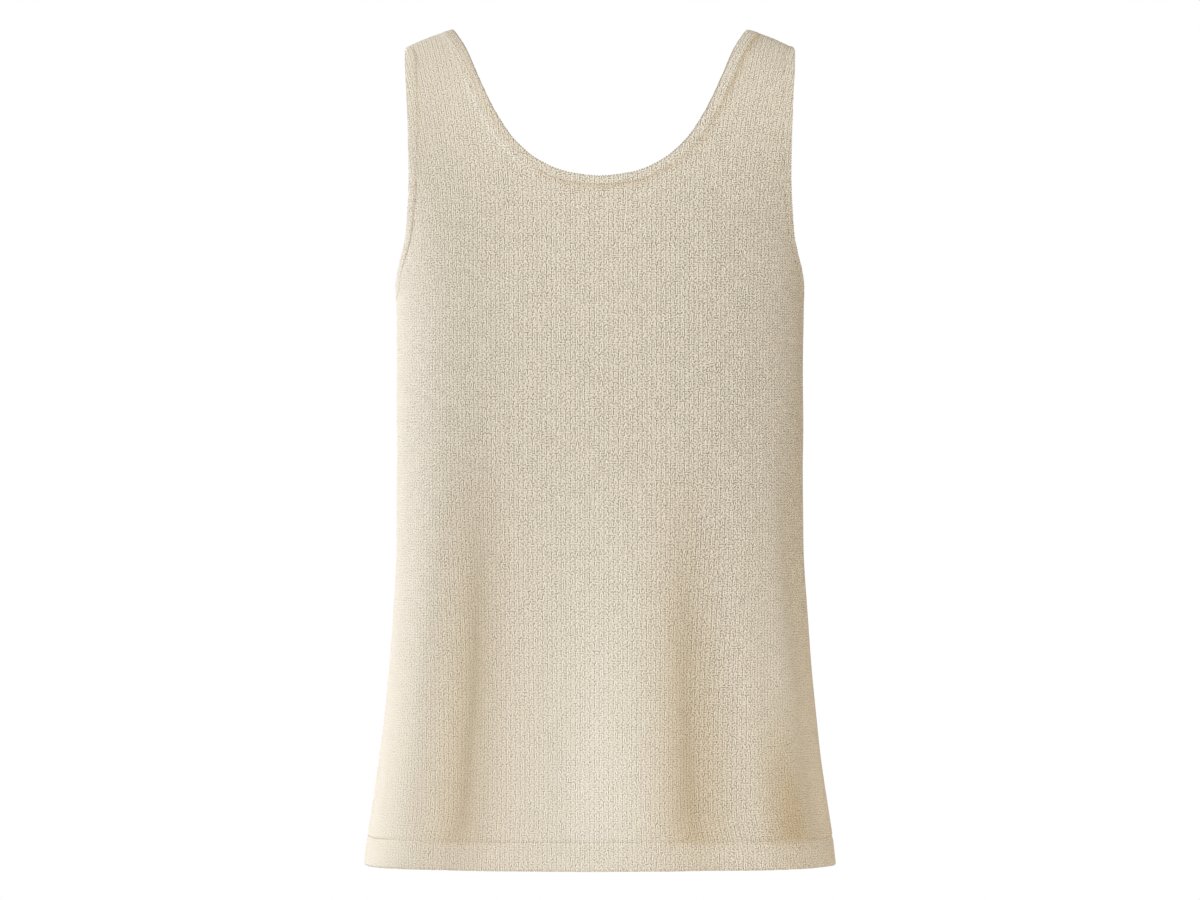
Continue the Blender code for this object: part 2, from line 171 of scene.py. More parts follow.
# Across a band, from its edge at 0 to its seam at 1: where the seam's painted shade sets in and over
# what share it grows. The rest of the band takes a little of the opposite: a painted highlight where
# the seam has painted shade, and painted shade where it has a painted highlight. The neck's edge has
# painted shade.
NECK_SEAM_SHARES = (0.75, 0.25)
ARMHOLE_SEAM_SHARES = (0.8, 0.2)
BAND_OPPOSITE_PAINTED_SHADE = -0.3
NECK_RIM_PAINTED_SHADE = 0.6
NECK_RIM_SHARE = 0.07

# Slow waves in the cloth: radians a metre across and up, and where each starts.
WAVES = ((41.0, 23.0, 0.3), (67.0, -31.0, 1.9), (97.0, 53.0, 4.1), (151.0, -83.0, 2.6))

# Where the stitches' clearness changes, in metres of the flat knit: up, with 0 at the shoulder and
# less below it, and right, with 0 at the centre line.
CLEAR_FROM_HEM = (-0.60, -0.28)
CLEAR_TO_SHOULDER = (-0.19, -0.04)
CLEAR_FROM_LEFT = (-0.21, -0.12)
CLEAR_TO_RIGHT = (0.0, 0.12)
CLEAR_AT_RIGHT_EDGE = (0.17, 0.23)
RIGHT_EDGE_CONTRAST = 0.6

# A stitch, in wales and courses: how its legs slant, how light a strand's ends are, how far from the
# line between two wales a pinhole starts and is whole, and how stitches stray. A strand's dark ends and
# the pinholes are painted shade between the stitches.
LEG_SLANT = 1.8
STRAND_FLOOR = 0.45
PINHOLE_EDGE = (0.25, 0.02)
WANDER_SCALE = 0.42
WANDER_ALONG = 2.2

# Noises in the yarn: how fast each changes across and along the stitches, and its detail.
NOISE_ROUGHNESS = 0.6
FIBRE_NOISE = ((2.8, 2.7, 1.0), 1.0)
SLUB_NOISE = ((2.1, 0.7, 1.0), 2.0)
MOTTLE_NOISE = ((0.30, 0.14, 1.0), 2.0)

# What makes the yarn's tone uneven, and the painted shade between its stitches. A leg's part changes by
# chance. The others each have their mean and their weight: fibre, slub, mottle, strand and pinhole.
# Fibre, slub, mottle and the legs are the yarn's own tone; the strand's dark ends and the pinholes are
# painted shade.
LEG_MEAN = 0.59
LEG_CHANCE = 4.1
LEG_CHANCE_OFF = 1.72
TONE_WEIGHTS = ((0.5, 0.82), (0.5, 0.20), (0.5, 0.14), (0.82, 0.44), (0.10, -0.55))

# A Mix node's sockets for colours: three inputs and the output.
MIX_FACTOR, MIX_FIRST, MIX_SECOND, MIX_COLOUR = 0, 6, 7, 2

# The stitches' inputs, and how unevenly they lie and how plump they are.
STITCH_INPUTS = {
    "Geometry": "Geometry",
    "Spacing": "Float",
    "Length": "Float",
    "Width": "Float",
    "Height": "Float",
    "Lean": "Float",
    "Seed": "Int",
    "Material": "Material",
}
STITCH_WOBBLE = 0.22
LEAST_PLUMP = (0.85, 0.8, 0.8)
MOST_PLUMP = (1.1, 1.15, 1.2)

FLOOR_SIDES = 96
BEHIND_FADE = (-0.55, 0.15)

# The meshes' own rows and columns.
CURVE_SAMPLES = 481
COLUMN_SHARE = 0.62
STRAP_LEVEL = 102.0 * MM
CHEST_ROW = 5
FLAT_LEVEL = 262.0 * MM
ROLLED_COLUMNS = (1.3, 0.45, 0.0)
SHOULDER_ROWS = (0.0, 0.6 * MM, 1.6 * MM, 3.2 * MM)
HEM_EDGE_ROWS = (1.0, 0.7, 0.4, 0.15, 0.0)
STRAP_ROLL = 0.02
BODY_ROLL = 0.008
HEM_DOUBLING = (-2.0 * MM, 1.0 * MM)
GRAIN_ROWS = 140
GRAIN_REACH = 92

# The wales lean on the straps and in the bands, less beside the centre line. In a band the lean is
# whole down to the first of these levels and gone at the second. In a panel it is gone this far
# below the level where it starts to straighten.
CENTRE_EASE = 10.0 * MM
BAND_LEAN_LEVELS = (60.0 * MM, 120.0 * MM)
STRAIGHTENING = 80.0 * MM


def columns(names, rows):
    """A table as a dictionary with an array for each named column."""
    return dict(zip(names, np.array(rows, dtype=float).T))


SECTIONS = columns(SECTION_COLUMNS, SECTION_ROWS)
NECK = columns(NECK_COLUMNS, NECK_ROWS)
FOLDS = [dict(zip(FOLD_COLUMNS, row)) for row in FOLD_ROWS]
HEM_HEIGHT = SECTIONS["height"][-1] * MM
NECK_HALF_WIDTH = NECK["half_width"][0] * MM
TIP_HALF_WIDTH = SECTIONS["half_width"][0] * MM


# ---------------------------------------------------------------- the body form


def smooth_step(start, end, value):
    share = np.clip((value - start) / (end - start), 0.0, 1.0)
    return share * share * (3.0 - 2.0 * share)


def smooth_curve(knots, values, at):
    """A curve through knots and values that is smooth and never overshoots a value."""
    step = np.diff(knots)
    slope = np.diff(values) / step
    before, after = slope[:-1], slope[1:]
    same_way = before * after > 0.0
    safe = np.where(same_way, before + after, 1.0)
    inner = np.where(same_way, 2.0 * before * after / safe, 0.0)
    tangent = np.concatenate(([slope[0]], inner, [slope[-1]]))
    index = np.clip(np.searchsorted(knots, at) - 1, 0, len(step) - 1)
    share = (at - knots[index]) / step[index]
    rise = values[index + 1] - values[index]
    first = tangent[index] * step[index]
    last = tangent[index + 1] * step[index]
    cubic = first + last - 2.0 * rise
    square = 3.0 * rise - 2.0 * first - last
    return values[index] + share * (first + share * (square + share * cubic))


def section(name, level, odd=False):
    """A column of the section table at a level, carried over the shoulder as a mirror image."""
    knots = SECTIONS["level"] * MM
    values = SECTIONS[name] * MM
    mirrored = -values if odd else values
    knots = np.concatenate((-knots[:0:-1], knots))
    values = np.concatenate((mirrored[:0:-1], values))
    return smooth_curve(knots, values, np.asarray(level, dtype=float))


def armhole_bearing(level):
    """Bearing of the armhole's edge at a level, a right angle from the underarm down."""
    share = np.clip(level / UNDERARM_LEVEL, 0.0, 1.0)
    return 0.5 * math.pi - ARMHOLE_SPAN * np.sqrt(1.0 - share * share)


def shoulder_drop(x, level):
    """How far the sloping shoulder lowers the form at x, fading out down the chest."""
    strap = TIP_HALF_WIDTH - NECK_HALF_WIDTH
    way_out = np.maximum((np.abs(x) - NECK_HALF_WIDTH) / strap, 0.0)
    fall = SHOULDER_FALL * way_out ** SHOULDER_CURVE
    return -fall * (1.0 - smooth_step(0.0, SHOULDER_FADE_LEVEL, level))


def rounded(to_end, radius):
    """How far a rounded edge has dropped, as a share; 0.98 keeps its end from standing upright."""
    near = np.clip(1.0 - to_end / radius, 0.0, 1.0)
    return 1.0 - np.sqrt(1.0 - 0.98 * near * near)


def corner_drop(x, level):
    """How far the rounded ends of the shoulder line lie below it."""
    drop = NECK_CORNER * rounded(np.abs(x) - NECK_HALF_WIDTH, NECK_CORNER)
    drop = drop + TIP_CORNER * rounded(TIP_HALF_WIDTH - np.abs(x), TIP_CORNER)
    return drop * (1.0 - smooth_step(0.0, CORNER_FADE_LEVEL, level))


def hem_line():
    """Height of the hem's stitches."""
    return HEM_HEIGHT + bpy.context.scene.knit_top_cloth.hem_depth


def folds_at(side, bearing, height):
    """For each fold: its row, degrees from its middle, its middle, and how much of it has grown."""
    around = np.degrees(bearing if side == FRONT else math.pi - bearing)
    for fold in FOLDS:
        top = fold["start"] * MM
        share = np.clip((height - top) / (HEM_HEIGHT - top), 0.0, 1.0)
        middle = fold["bearing_top"] + (fold["bearing_hem"] - fold["bearing_top"]) * share
        away = (around - middle + 180.0) % 360.0 - 180.0
        yield fold, away, middle, smooth_step(top, fold["whole"] * MM, height)


def fold_relief(side, bearing, height):
    """How far the folds move the cloth outward."""
    relief = np.zeros_like(height)
    for fold, away, _, growth in folds_at(side, bearing, height):
        relief += fold["depth"] * MM * growth * np.exp(-(away / fold["width"]) ** 2)
    cloth = bpy.context.scene.knit_top_cloth
    start, whole = hem_line() + cloth.hem_depth, hem_line() - 0.5 * cloth.hem_depth
    in_hem = smooth_step(start, whole, height)
    return relief * cloth.fold_depth * (1.0 + (HEM_FOLD_SHARE - 1.0) * in_hem)


def painted_shade_at(side, bearing, level):
    """Painted shade from the folds and on the right flank, above 0; below 0 it is a painted highlight.
    """
    height = section("height", level)
    painted_shade = np.zeros_like(height)
    for fold, away, middle, growth in folds_at(side, bearing, height):
        if fold["tone"]:
            away += math.copysign(PAINTED_SHADE_SHIFT, middle.mean())
            spread = PAINTED_SHADE_SPREAD * fold["width"]
            painted_shade += fold["tone"] * growth * np.exp(-(away / spread) ** 2)
    in_hem = smooth_step(hem_line() + 2.0 * MM, hem_line() - 6.0 * MM, height)
    # Painted shade on the right flank, reaching round the side seam onto the back.
    start, whole, fading, end = FLANK_BEARINGS
    around = np.degrees(bearing if side == FRONT else math.pi - bearing)
    around = np.broadcast_to(around, height.shape)
    flank = smooth_step(start, whole, around) - smooth_step(fading, end, around)
    return painted_shade * (1.0 - HEM_PAINTED_SHADE_FADE * in_hem) + FLANK_PAINTED_SHADE * flank


def neck_seam_painted_shade(side, points, seam):
    """Painted shade on the knit beside the neck band's seam, below 0 a painted highlight."""
    away = np.full(len(points), 1.0)
    near = points[:, 2] > LOWEST_SEAM_HEIGHT
    gaps = points[near][:, None, :] - seam[None, :, :]
    away[near] = np.sqrt(np.min(np.sum(gaps * gaps, axis=2), axis=1))
    return seam_painted_shade_at(side, points[:, 0]) * np.exp(-(away / SEAM_SPREAD) ** 2)


def seam_painted_shade_at(side, x):
    """The neck seam's painted shade at x: a painted highlight where the left strap's seam catches
    light, painted shade on the rest.
    """
    tones = NECK_SEAM_PAINTED_SHADES if side == FRONT else (BACK_SEAM_PAINTED_SHADE,) * len(NECK_SEAM_PAINTED_SHADES)
    return np.interp(x, np.array(NECK_SEAM_PLACES) * MM, tones)


def form_point(side, bearing, level):
    """The cloth's outer face at a bearing and level of the front or the back."""
    depth_name = "front_depth" if side == FRONT else "back_depth"
    depth = section(depth_name, level, odd=True)
    radius = section("half_width", level) / np.sin(armhole_bearing(level))
    across, along = np.sin(bearing), np.cos(bearing)
    x = radius * across
    y = side * depth * along * (1.0 + SQUARENESS * across * across)
    height = section("height", level)
    relief = fold_relief(side, bearing, height)
    z = height + shoulder_drop(x, level) - corner_drop(x, level)
    return np.stack((x + relief * across, y + side * relief * along, z), axis=-1)


def form_slopes(side, bearing, level):
    """How a point of the form moves with bearing and with level."""
    tiny = 1e-4
    by_bearing = form_point(side, bearing + tiny, level) - form_point(side, bearing - tiny, level)
    ahead, behind = level + tiny, np.maximum(level - tiny, 0.0)
    by_level = form_point(side, bearing, ahead) - form_point(side, bearing, behind)
    return by_bearing / (2.0 * tiny), by_level / (ahead - behind)[..., None]


def form_normal(side, bearing, level):
    """The way out of the form; it lies in the seam's plane at the side and shoulder seams."""
    by_bearing, by_level = form_slopes(side, bearing, level)
    normal = np.cross(by_bearing, by_level) * side
    on_seam = (np.abs(bearing) > 0.5 * math.pi - 1e-6) | (level < 1e-9)
    normal[..., 1] = np.where(on_seam, 0.0, normal[..., 1])
    return normal / np.linalg.norm(normal, axis=-1, keepdims=True)


def moved_in(side, edge, distance):
    """An edge's bearings and levels, moved into the cloth by a distance along the form."""
    bearing, level = edge
    points = form_point(side, bearing, level)
    along = np.gradient(points, axis=0)
    inward = np.cross(along, form_normal(side, bearing, level))
    inward *= distance[:, None] / np.linalg.norm(inward, axis=1, keepdims=True)
    by_bearing, by_level = form_slopes(side, bearing, level)
    aa = np.sum(by_bearing * by_bearing, axis=1)
    ab = np.sum(by_bearing * by_level, axis=1)
    bb = np.sum(by_level * by_level, axis=1)
    a = np.sum(by_bearing * inward, axis=1)
    b = np.sum(by_level * inward, axis=1)
    span = aa * bb - ab * ab
    moved = np.stack((bearing + (a * bb - b * ab) / span, level + (b * aa - a * ab) / span))
    moved[1][level < 1e-9] = 0.0
    return moved


# ---------------------------------------------------------------- edges and seams


def level_at(x, z):
    """The level whose height at x is z."""
    levels = np.linspace(0.0, UNDERARM_LEVEL, CURVE_SAMPLES)
    found = []
    for x_one, z_one in zip(x, z):
        heights = section("height", levels) + shoulder_drop(x_one, levels)
        found.append(np.interp(-z_one, -heights, levels))
    return np.array(found)


def neck_edge(side):
    """Bearings and levels of the right half of the neck opening, shoulder to centre line."""
    drop = np.concatenate((NECK["drop"], NECK["drop"][-2::-1])) * MM
    half_width = np.concatenate((NECK["half_width"], -NECK["half_width"][-2::-1])) * MM
    chord = np.hypot(np.diff(drop), np.diff(half_width))
    way = np.concatenate(([0.0], np.cumsum(chord)))
    at = np.linspace(0.0, way[len(NECK_ROWS) - 1], CURVE_SAMPLES)
    z = -smooth_curve(way, drop, at)
    x = smooth_curve(way, half_width, at)
    if side == BACK:
        x = x + BACK_NECK_EASE * np.sin(math.pi * z / z[-1])
    x[-1] = 0.0
    level = level_at(x, z)
    level[0] = 0.0
    radius = section("half_width", level) / np.sin(armhole_bearing(level))
    return np.stack((np.arcsin(x / radius), level))


def armhole_edge():
    """Bearings and levels of the right armhole's edge, from the shoulder to the side seam."""
    turn = np.linspace(0.5 * math.pi, 0.0, CURVE_SAMPLES)
    level = UNDERARM_LEVEL * np.cos(turn)
    level[0] = 0.0
    return np.stack((armhole_bearing(level), level))


def side_rails(side):
    """For the neck and the armhole: the opening's edge, its band's seam and the panel's edge.

    The panel's edge lies between the band's two layers, a tuck inside the seam.
    """
    tuck = bpy.context.scene.knit_top_cloth.band_tuck
    neck = neck_edge(side)
    lowest = neck[1] / neck[1][-1]
    neck_width = NECK_BAND_SHOULDER + (NECK_BAND_CENTRE - NECK_BAND_SHOULDER) * lowest
    armhole = armhole_edge()
    armhole_width = np.full(CURVE_SAMPLES, ARMHOLE_BAND)
    rails = {}
    for name, edge, width, inward, end in (
        ("neck", neck, neck_width, side, 0.0),
        ("armhole", armhole, armhole_width, -side, 0.5 * math.pi),
    ):
        seam = moved_in(side, edge, inward * width)
        panel = moved_in(side, edge, inward * (width - tuck))
        seam[0][-1] = end
        panel[0][-1] = end
        rails[name] = {"edge": edge, "seam": seam, "panel": panel}
    return rails


def rail_at(rail, index):
    """A rail's bearing and level at fractions of its sample numbers."""
    numbers = np.arange(rail.shape[1])
    return np.stack([np.interp(index, numbers, row) for row in rail])


def even_index(side, rail, spacing, start=0.0):
    """Sample numbers that divide a rail, from a start to its end, into equal lengths."""
    dense = np.linspace(start, rail.shape[1] - 1, 4 * CURVE_SAMPLES)
    points = form_point(side, *rail_at(rail, dense))
    way = np.concatenate(([0.0], np.cumsum(np.linalg.norm(np.diff(points, axis=0), axis=1))))
    count = max(2, round(way[-1] / spacing))
    return np.interp(np.linspace(0.0, way[-1], count + 1), way, dense)


# ---------------------------------------------------------------- panels


def edged_share(count, close):
    """Shares from 0 to 1 that are even, with two more close to 1 for a rolled edge."""
    even = np.linspace(0.0, 1.0 - 2.0 * ROLLED_COLUMNS[0] * close, count - 1)
    return np.concatenate((even, 1.0 - close * np.array(ROLLED_COLUMNS)))


def strap_grid(rails, levels, share):
    """Bearings and levels of the right strap, a row for each level, neck edge to armhole."""
    ends = []
    for name in ("neck", "armhole"):
        rail = rails[name]["panel"]
        index = np.interp(levels, rail[1], np.arange(rail.shape[1]))
        ends.append(rail_at(rail, index))
    neck, armhole = ends
    return neck[:, :, None] * (1.0 - share) + armhole[:, :, None] * share


def body_grid(side, rails, strap, spacing):
    """Bearings and levels from the straps' lower ends to the hem, left to right.

    The first row follows the neck. The rows then straighten down to FLAT_LEVEL, and their ends
    follow the armhole and the side seam.
    """
    neck, armhole = rails["neck"]["panel"], rails["armhole"]["panel"]
    start = np.interp(STRAP_LEVEL, neck[1], np.arange(neck.shape[1]))
    scoop = rail_at(neck, even_index(side, neck, COLUMN_SHARE * spacing, start))
    half = np.concatenate((scoop[:, ::-1], strap[:, -1, 1:]), axis=1)
    first = np.concatenate((half[:, :0:-1] * np.array([[-1.0], [1.0]]), half), axis=1)
    half_across = edged_share(half.shape[1] - 2, BODY_ROLL)
    across = np.concatenate((-half_across[:0:-1], half_across))
    straight = across * 0.5 * math.pi
    yoke_rows = round((armhole[1][-1] - STRAP_LEVEL) / spacing)
    turn = np.linspace(0.0, 0.5 * math.pi, yoke_rows)
    side_levels = STRAP_LEVEL + (armhole[1][-1] - STRAP_LEVEL) * np.sin(turn)
    below_rows = round((FLAT_LEVEL - side_levels[-1]) / spacing)
    below = np.linspace(side_levels[-1], FLAT_LEVEL, below_rows + 1)[1:]
    side_levels = np.concatenate((side_levels, below))
    bearings, levels = [], []
    for level in side_levels:
        share = (level - STRAP_LEVEL) / (FLAT_LEVEL - STRAP_LEVEL)
        end = np.interp(level, armhole[1], armhole[0])
        mixed = (1.0 - share) * first[0] + share * straight
        bearings.append(mixed + across * (end - mixed[-1]))
        levels.append((1.0 - share) * first[1] + share * FLAT_LEVEL)
    for level in hem_levels(spacing):
        bearings.append(straight)
        levels.append(np.full_like(straight, level))
    return np.stack((bearings, levels))


def hem_levels(spacing):
    """Row levels from below FLAT_LEVEL to the hem's lower edge, closer at its stitch line."""
    cloth = bpy.context.scene.knit_top_cloth
    stitch = HEM_LEVEL - cloth.hem_depth
    count = round((stitch - 3.0 * MM - FLAT_LEVEL) / spacing)
    plain = np.linspace(FLAT_LEVEL, stitch - 3.0 * MM, count + 1)[1:]
    close = np.linspace(stitch - 2.2 * MM, stitch + 3.0 * MM, 9)
    band = np.linspace(stitch + 5.0 * MM, HEM_LEVEL - 1.6 * HEM_ROUNDING, 6)
    edge = HEM_LEVEL - np.array(HEM_EDGE_ROWS) * HEM_ROUNDING
    return np.concatenate((plain, close, band, edge))


def wall_offsets(bearing, level):
    """How far the outer and inner faces lie from the form.

    The wall is thicker and rounded at the hem, drawn in along its stitches, and rolled inward
    where the panels are joined at the side and shoulder seams.
    """
    cloth = bpy.context.scene.knit_top_cloth
    stitch = HEM_LEVEL - cloth.hem_depth
    doubled = smooth_step(stitch + HEM_DOUBLING[0], stitch + HEM_DOUBLING[1], level)
    thickness = cloth.panel_thickness + (cloth.hem_thickness - cloth.panel_thickness) * doubled
    groove = cloth.groove_depth * np.exp(-((level - stitch) / GROOVE_SPREAD) ** 2)
    to_side = (0.5 * math.pi - np.abs(bearing)) * section("half_width", level)
    to_seam = np.minimum(to_side, level)
    seam = SEAM_ROLL * cloth.groove_depth * np.exp(-(to_seam / SEAM_ROLL_SPREAD) ** 2)
    rounding = 0.5 * cloth.hem_thickness * rounded(HEM_LEVEL - level, HEM_ROUNDING)
    return -groove - seam - rounding, -thickness + rounding


def unevenness(points):
    """The slight, slow waviness of hanging knit, as a height at each point."""
    amount = bpy.context.scene.knit_top_cloth.unevenness
    total = np.zeros(len(points))
    for across, up, phase in WAVES:
        wave = points[:, 0] * across + points[:, 1] * (across + 17.0) + points[:, 2] * up + phase
        total += np.sin(wave + 1.3 * np.sin(points[:, 2] * 19.0 + phase))
    return amount * total / len(WAVES)


def grid_faces(numbers):
    """Faces of a grid of vertex numbers, row by row."""
    upper, lower = numbers[:-1], numbers[1:]
    corners = (upper[:, :-1], lower[:, :-1], lower[:, 1:], upper[:, 1:])
    return np.stack(corners, axis=-1).reshape(-1, 4)


def closed_wall(outer, inner, faces):
    """Vertices and faces of a wall from two matching sheets and the faces of the outer one."""
    count = len(outer)
    starts = faces.ravel()
    ends = np.roll(faces, -1, axis=1).ravel()
    forward = starts.astype(np.int64) * count + ends
    backward = ends.astype(np.int64) * count + starts
    alone = ~np.isin(forward, backward)
    start, end = starts[alone], ends[alone]
    rims = np.stack((end, start, start + count, end + count), axis=1)
    lining = faces[:, ::-1] + count
    return np.concatenate((outer, inner)), np.concatenate((faces, lining, rims))


def panel_sheet(side, spacing):
    """Bearings, levels and faces of the front or the back."""
    rails = side_rails(side)
    strap_width = section("half_width", 0.0) - NECK_HALF_WIDTH
    strap_columns = round(strap_width / (COLUMN_SHARE * spacing))
    share = edged_share(strap_columns, STRAP_ROLL)
    *first_levels, start = SHOULDER_ROWS
    even_levels = np.linspace(start, STRAP_LEVEL, round(STRAP_LEVEL / spacing))
    strap_levels = np.concatenate((first_levels, even_levels))
    strap = strap_grid(rails, strap_levels, share)
    body = body_grid(side, rails, strap, spacing)
    rows, width = len(strap_levels), len(share)
    body_numbers = np.arange(body[0].size).reshape(body[0].shape)
    spare = (rows - 1) * width
    right_new = body[0].size + np.arange(spare).reshape(rows - 1, width)
    right = np.concatenate((right_new, body_numbers[:1, -width:]))
    left = np.concatenate((right_new + spare, body_numbers[:1, :width]))
    left_strap = strap[:, :-1, ::-1] * np.array([-1.0, 1.0])[:, None, None]
    places = np.concatenate(
        (body.reshape(2, -1), strap[:, :-1].reshape(2, -1), left_strap.reshape(2, -1)), axis=1
    )
    faces = np.concatenate([grid_faces(numbers) for numbers in (body_numbers, right, left)])
    return places[0], places[1], faces


# ---------------------------------------------------------------- the knit's grain


def grain_chart(side):
    """How far each bearing lies from the centre line along the cloth, at a grid of levels."""
    levels = np.linspace(0.0, HEM_LEVEL, GRAIN_ROWS)
    bearings = np.radians(np.linspace(-GRAIN_REACH, GRAIN_REACH, 2 * GRAIN_REACH + 1))
    bearing_grid, level_grid = np.meshgrid(bearings, levels)
    points = form_point(side, bearing_grid, level_grid)
    steps = np.linalg.norm(np.diff(points, axis=1), axis=2)
    way = np.concatenate((np.zeros((len(levels), 1)), np.cumsum(steps, axis=1)), axis=1)
    return levels, bearings, way - way[:, GRAIN_REACH, None]


def lean_at(level, slope, whole, end):
    """How far wales that lean above a level have moved out, with a whole slope above another."""
    above = np.clip(end - level, 0.0, end - whole)
    return slope * (above * above / (2.0 * (end - whole)) + np.maximum(whole - level, 0.0))


def grain_at(chart, bearing, level, slope, whole, end):
    """The place in the flat knit, across and along its wales, of a bearing and level."""
    levels, bearings, way = chart
    row = np.clip(level / levels[-1] * (len(levels) - 1), 0.0, len(levels) - 1.001)
    column = (bearing - bearings[0]) / (bearings[-1] - bearings[0]) * (len(bearings) - 1)
    column = np.clip(column, 0.0, len(bearings) - 1.001)
    upper, left = row.astype(int), column.astype(int)
    down, right = row - upper, column - left
    top = way[upper, left] * (1.0 - right) + way[upper, left + 1] * right
    bottom = way[upper + 1, left] * (1.0 - right) + way[upper + 1, left + 1] * right
    across = top * (1.0 - down) + bottom * down
    lean = lean_at(level, slope, whole, end)
    across -= lean * across / np.sqrt(across * across + CENTRE_EASE ** 2)
    return np.stack((across, -level), axis=-1)


# ---------------------------------------------------------------- finished objects


def new_object(name, data):
    """An object of this data, in the scene."""
    piece = bpy.data.objects.new(name, data)
    bpy.context.scene.collection.objects.link(piece)
    return piece


def make_knit(name, points, faces, material, grain, painted_shade):
    """A smooth mesh facing outward, with its grain as a UV map and its painted shade and painted
    highlights as an attribute.
    """
    mesh = bpy.data.meshes.new(name)
    mesh.from_pydata(points.tolist(), [], faces.tolist())
    solid = bmesh.new()
    solid.from_mesh(mesh)
    bmesh.ops.recalc_face_normals(solid, faces=solid.faces)
    solid.to_mesh(mesh)
    solid.free()
    corners = np.empty(len(mesh.loops), dtype=np.int32)
    mesh.loops.foreach_get("vertex_index", corners)
    layer = mesh.uv_layers.new(name="grain")
    layer.uv.foreach_set("vector", grain[corners].astype(np.float32).ravel())
    depth = mesh.attributes.new("painted_shade", "FLOAT", "POINT")
    depth.data.foreach_set("value", painted_shade.astype(np.float32))
    mesh.shade_smooth()
    mesh.materials.append(material)
    return new_object(name, mesh)


def build_panel(side, name, material):
    """The front or the back as a closed wall, rolled at its seams and doubled at its hem."""
    cloth = bpy.context.scene.knit_top_cloth
    bearing, level, faces = panel_sheet(side, cloth.mesh_spacing)
    points = form_point(side, bearing, level)
    normal = form_normal(side, bearing, level)
    outer_out, inner_out = wall_offsets(bearing, level)
    wave = unevenness(points)
    outer = points + normal * (outer_out + wave)[:, None]
    inner = points + normal * (inner_out + wave)[:, None]
    vertices, wall = closed_wall(outer, inner, faces)
    lean = (cloth.strap_lean, cloth.lean_level, cloth.lean_level + STRAIGHTENING)
    grain = np.tile(grain_at(grain_chart(side), bearing, level, *lean), (2, 1))
    seam = form_point(side, *side_rails(side)["neck"]["seam"][:, ::3])
    seam = np.concatenate((seam, seam * np.array((-1.0, 1.0, 1.0))))
    # Painted shade and painted highlights from the folds, the right flank and the neck band's seam.
    tone = painted_shade_at(side, bearing, level) + neck_seam_painted_shade(side, points, seam)
    return make_knit(name, vertices, wall, material, grain, np.tile(tone, 2))


def band_section():
    """A band's section: shares across its width, and heights over the form, going round."""
    cloth = bpy.context.scene.knit_top_cloth
    sides, squaring = 20, 0.5
    turn = (np.arange(sides) + 0.5) * 2.0 * math.pi / sides
    across = np.sign(np.cos(turn)) * np.abs(np.cos(turn)) ** squaring
    across = 0.5 + 0.5 * across / across.max()
    lift = np.sign(np.sin(turn)) * np.abs(np.sin(turn)) ** squaring
    lift = lift / lift.max()
    middle = cloth.band_rise - 0.5 * cloth.band_thickness
    return across, middle + 0.5 * cloth.band_thickness * lift


def band_stretch(side, rails, index, mirror, slope, neck):
    """Sections and grain of a band along one side's rails, station by station."""
    edge = rail_at(rails["edge"], index)
    seam = rail_at(rails["seam"], index)
    across, lift = band_section()
    place = edge[:, :, None] * (1.0 - across) + seam[:, :, None] * across
    bearing, level = place[0] * mirror, place[1]
    points = form_point(side, bearing, level)
    points = points + form_normal(side, bearing, level) * lift[:, None]
    grain = grain_at(grain_chart(side), bearing, level, slope, *BAND_LEAN_LEVELS)
    # Painted shade from the folds and the flank. Beside the seam there is its painted shade or painted
    # highlight, with a little of the opposite across the rest of the band.
    tone = painted_shade_at(side, bearing, level)
    start, over = NECK_SEAM_SHARES if neck else ARMHOLE_SEAM_SHARES
    at_seam = seam_painted_shade_at(side, points[..., 0]) if neck else ARMHOLE_SEAM_PAINTED_SHADE
    tone = tone + at_seam * np.clip((across - start) / over, BAND_OPPOSITE_PAINTED_SHADE, 1.0)
    # Painted shade along the neck's edge.
    if neck:
        tone = tone + NECK_RIM_PAINTED_SHADE * np.clip(1.0 - across / NECK_RIM_SHARE, 0.0, 1.0)
    return np.concatenate((points, grain, tone[..., None]), axis=2)


def build_ring(name, stations, material):
    """A closed band from its stations in order round the opening."""
    count, corners = stations.shape[:2]
    numbers = np.arange(count * corners).reshape(count, corners)
    numbers = np.concatenate((numbers, numbers[:1]))
    numbers = np.concatenate((numbers, numbers[:, :1]), axis=1)
    flat = stations.reshape(-1, 6)
    faces = grid_faces(numbers)
    return make_knit(name, flat[:, :3], faces, material, flat[:, 3:5], flat[:, 5])


def build_band(name, opening, mirrors, slope, material):
    """A band round an opening: along the front from a shoulder, and back along the back.

    A band with two mirrors goes over the centre line, from the right half to the left one.
    """
    cloth = bpy.context.scene.knit_top_cloth
    stretches = []
    for side in (FRONT, BACK):
        rails = side_rails(side)[opening]
        index = even_index(side, rails["seam"], cloth.mesh_spacing)
        halves = [
            band_stretch(side, rails, index, mirror, slope, opening == "neck") for mirror in mirrors
        ]
        stretches.append(np.concatenate((halves[0], *(half[-2::-1] for half in halves[1:]))))
    front, back = stretches
    return build_ring(name, np.concatenate((front, back[-2:0:-1])), material)


# ---------------------------------------------------------------- nodes


def fill(tree, node, inputs):
    """Give a node's inputs their values, each a plain one or another node's output."""
    for key, value in inputs.items():
        if isinstance(value, bpy.types.NodeSocket):
            tree.links.new(value, node.inputs[key])
        else:
            node.inputs[key].default_value = value


def add_node(tree, kind, inputs=None, **settings):
    """The outputs of a new node with these inputs and settings."""
    node = tree.nodes.new(kind)
    for name, value in settings.items():
        setattr(node, name, value)
    fill(tree, node, inputs or {})
    return node.outputs


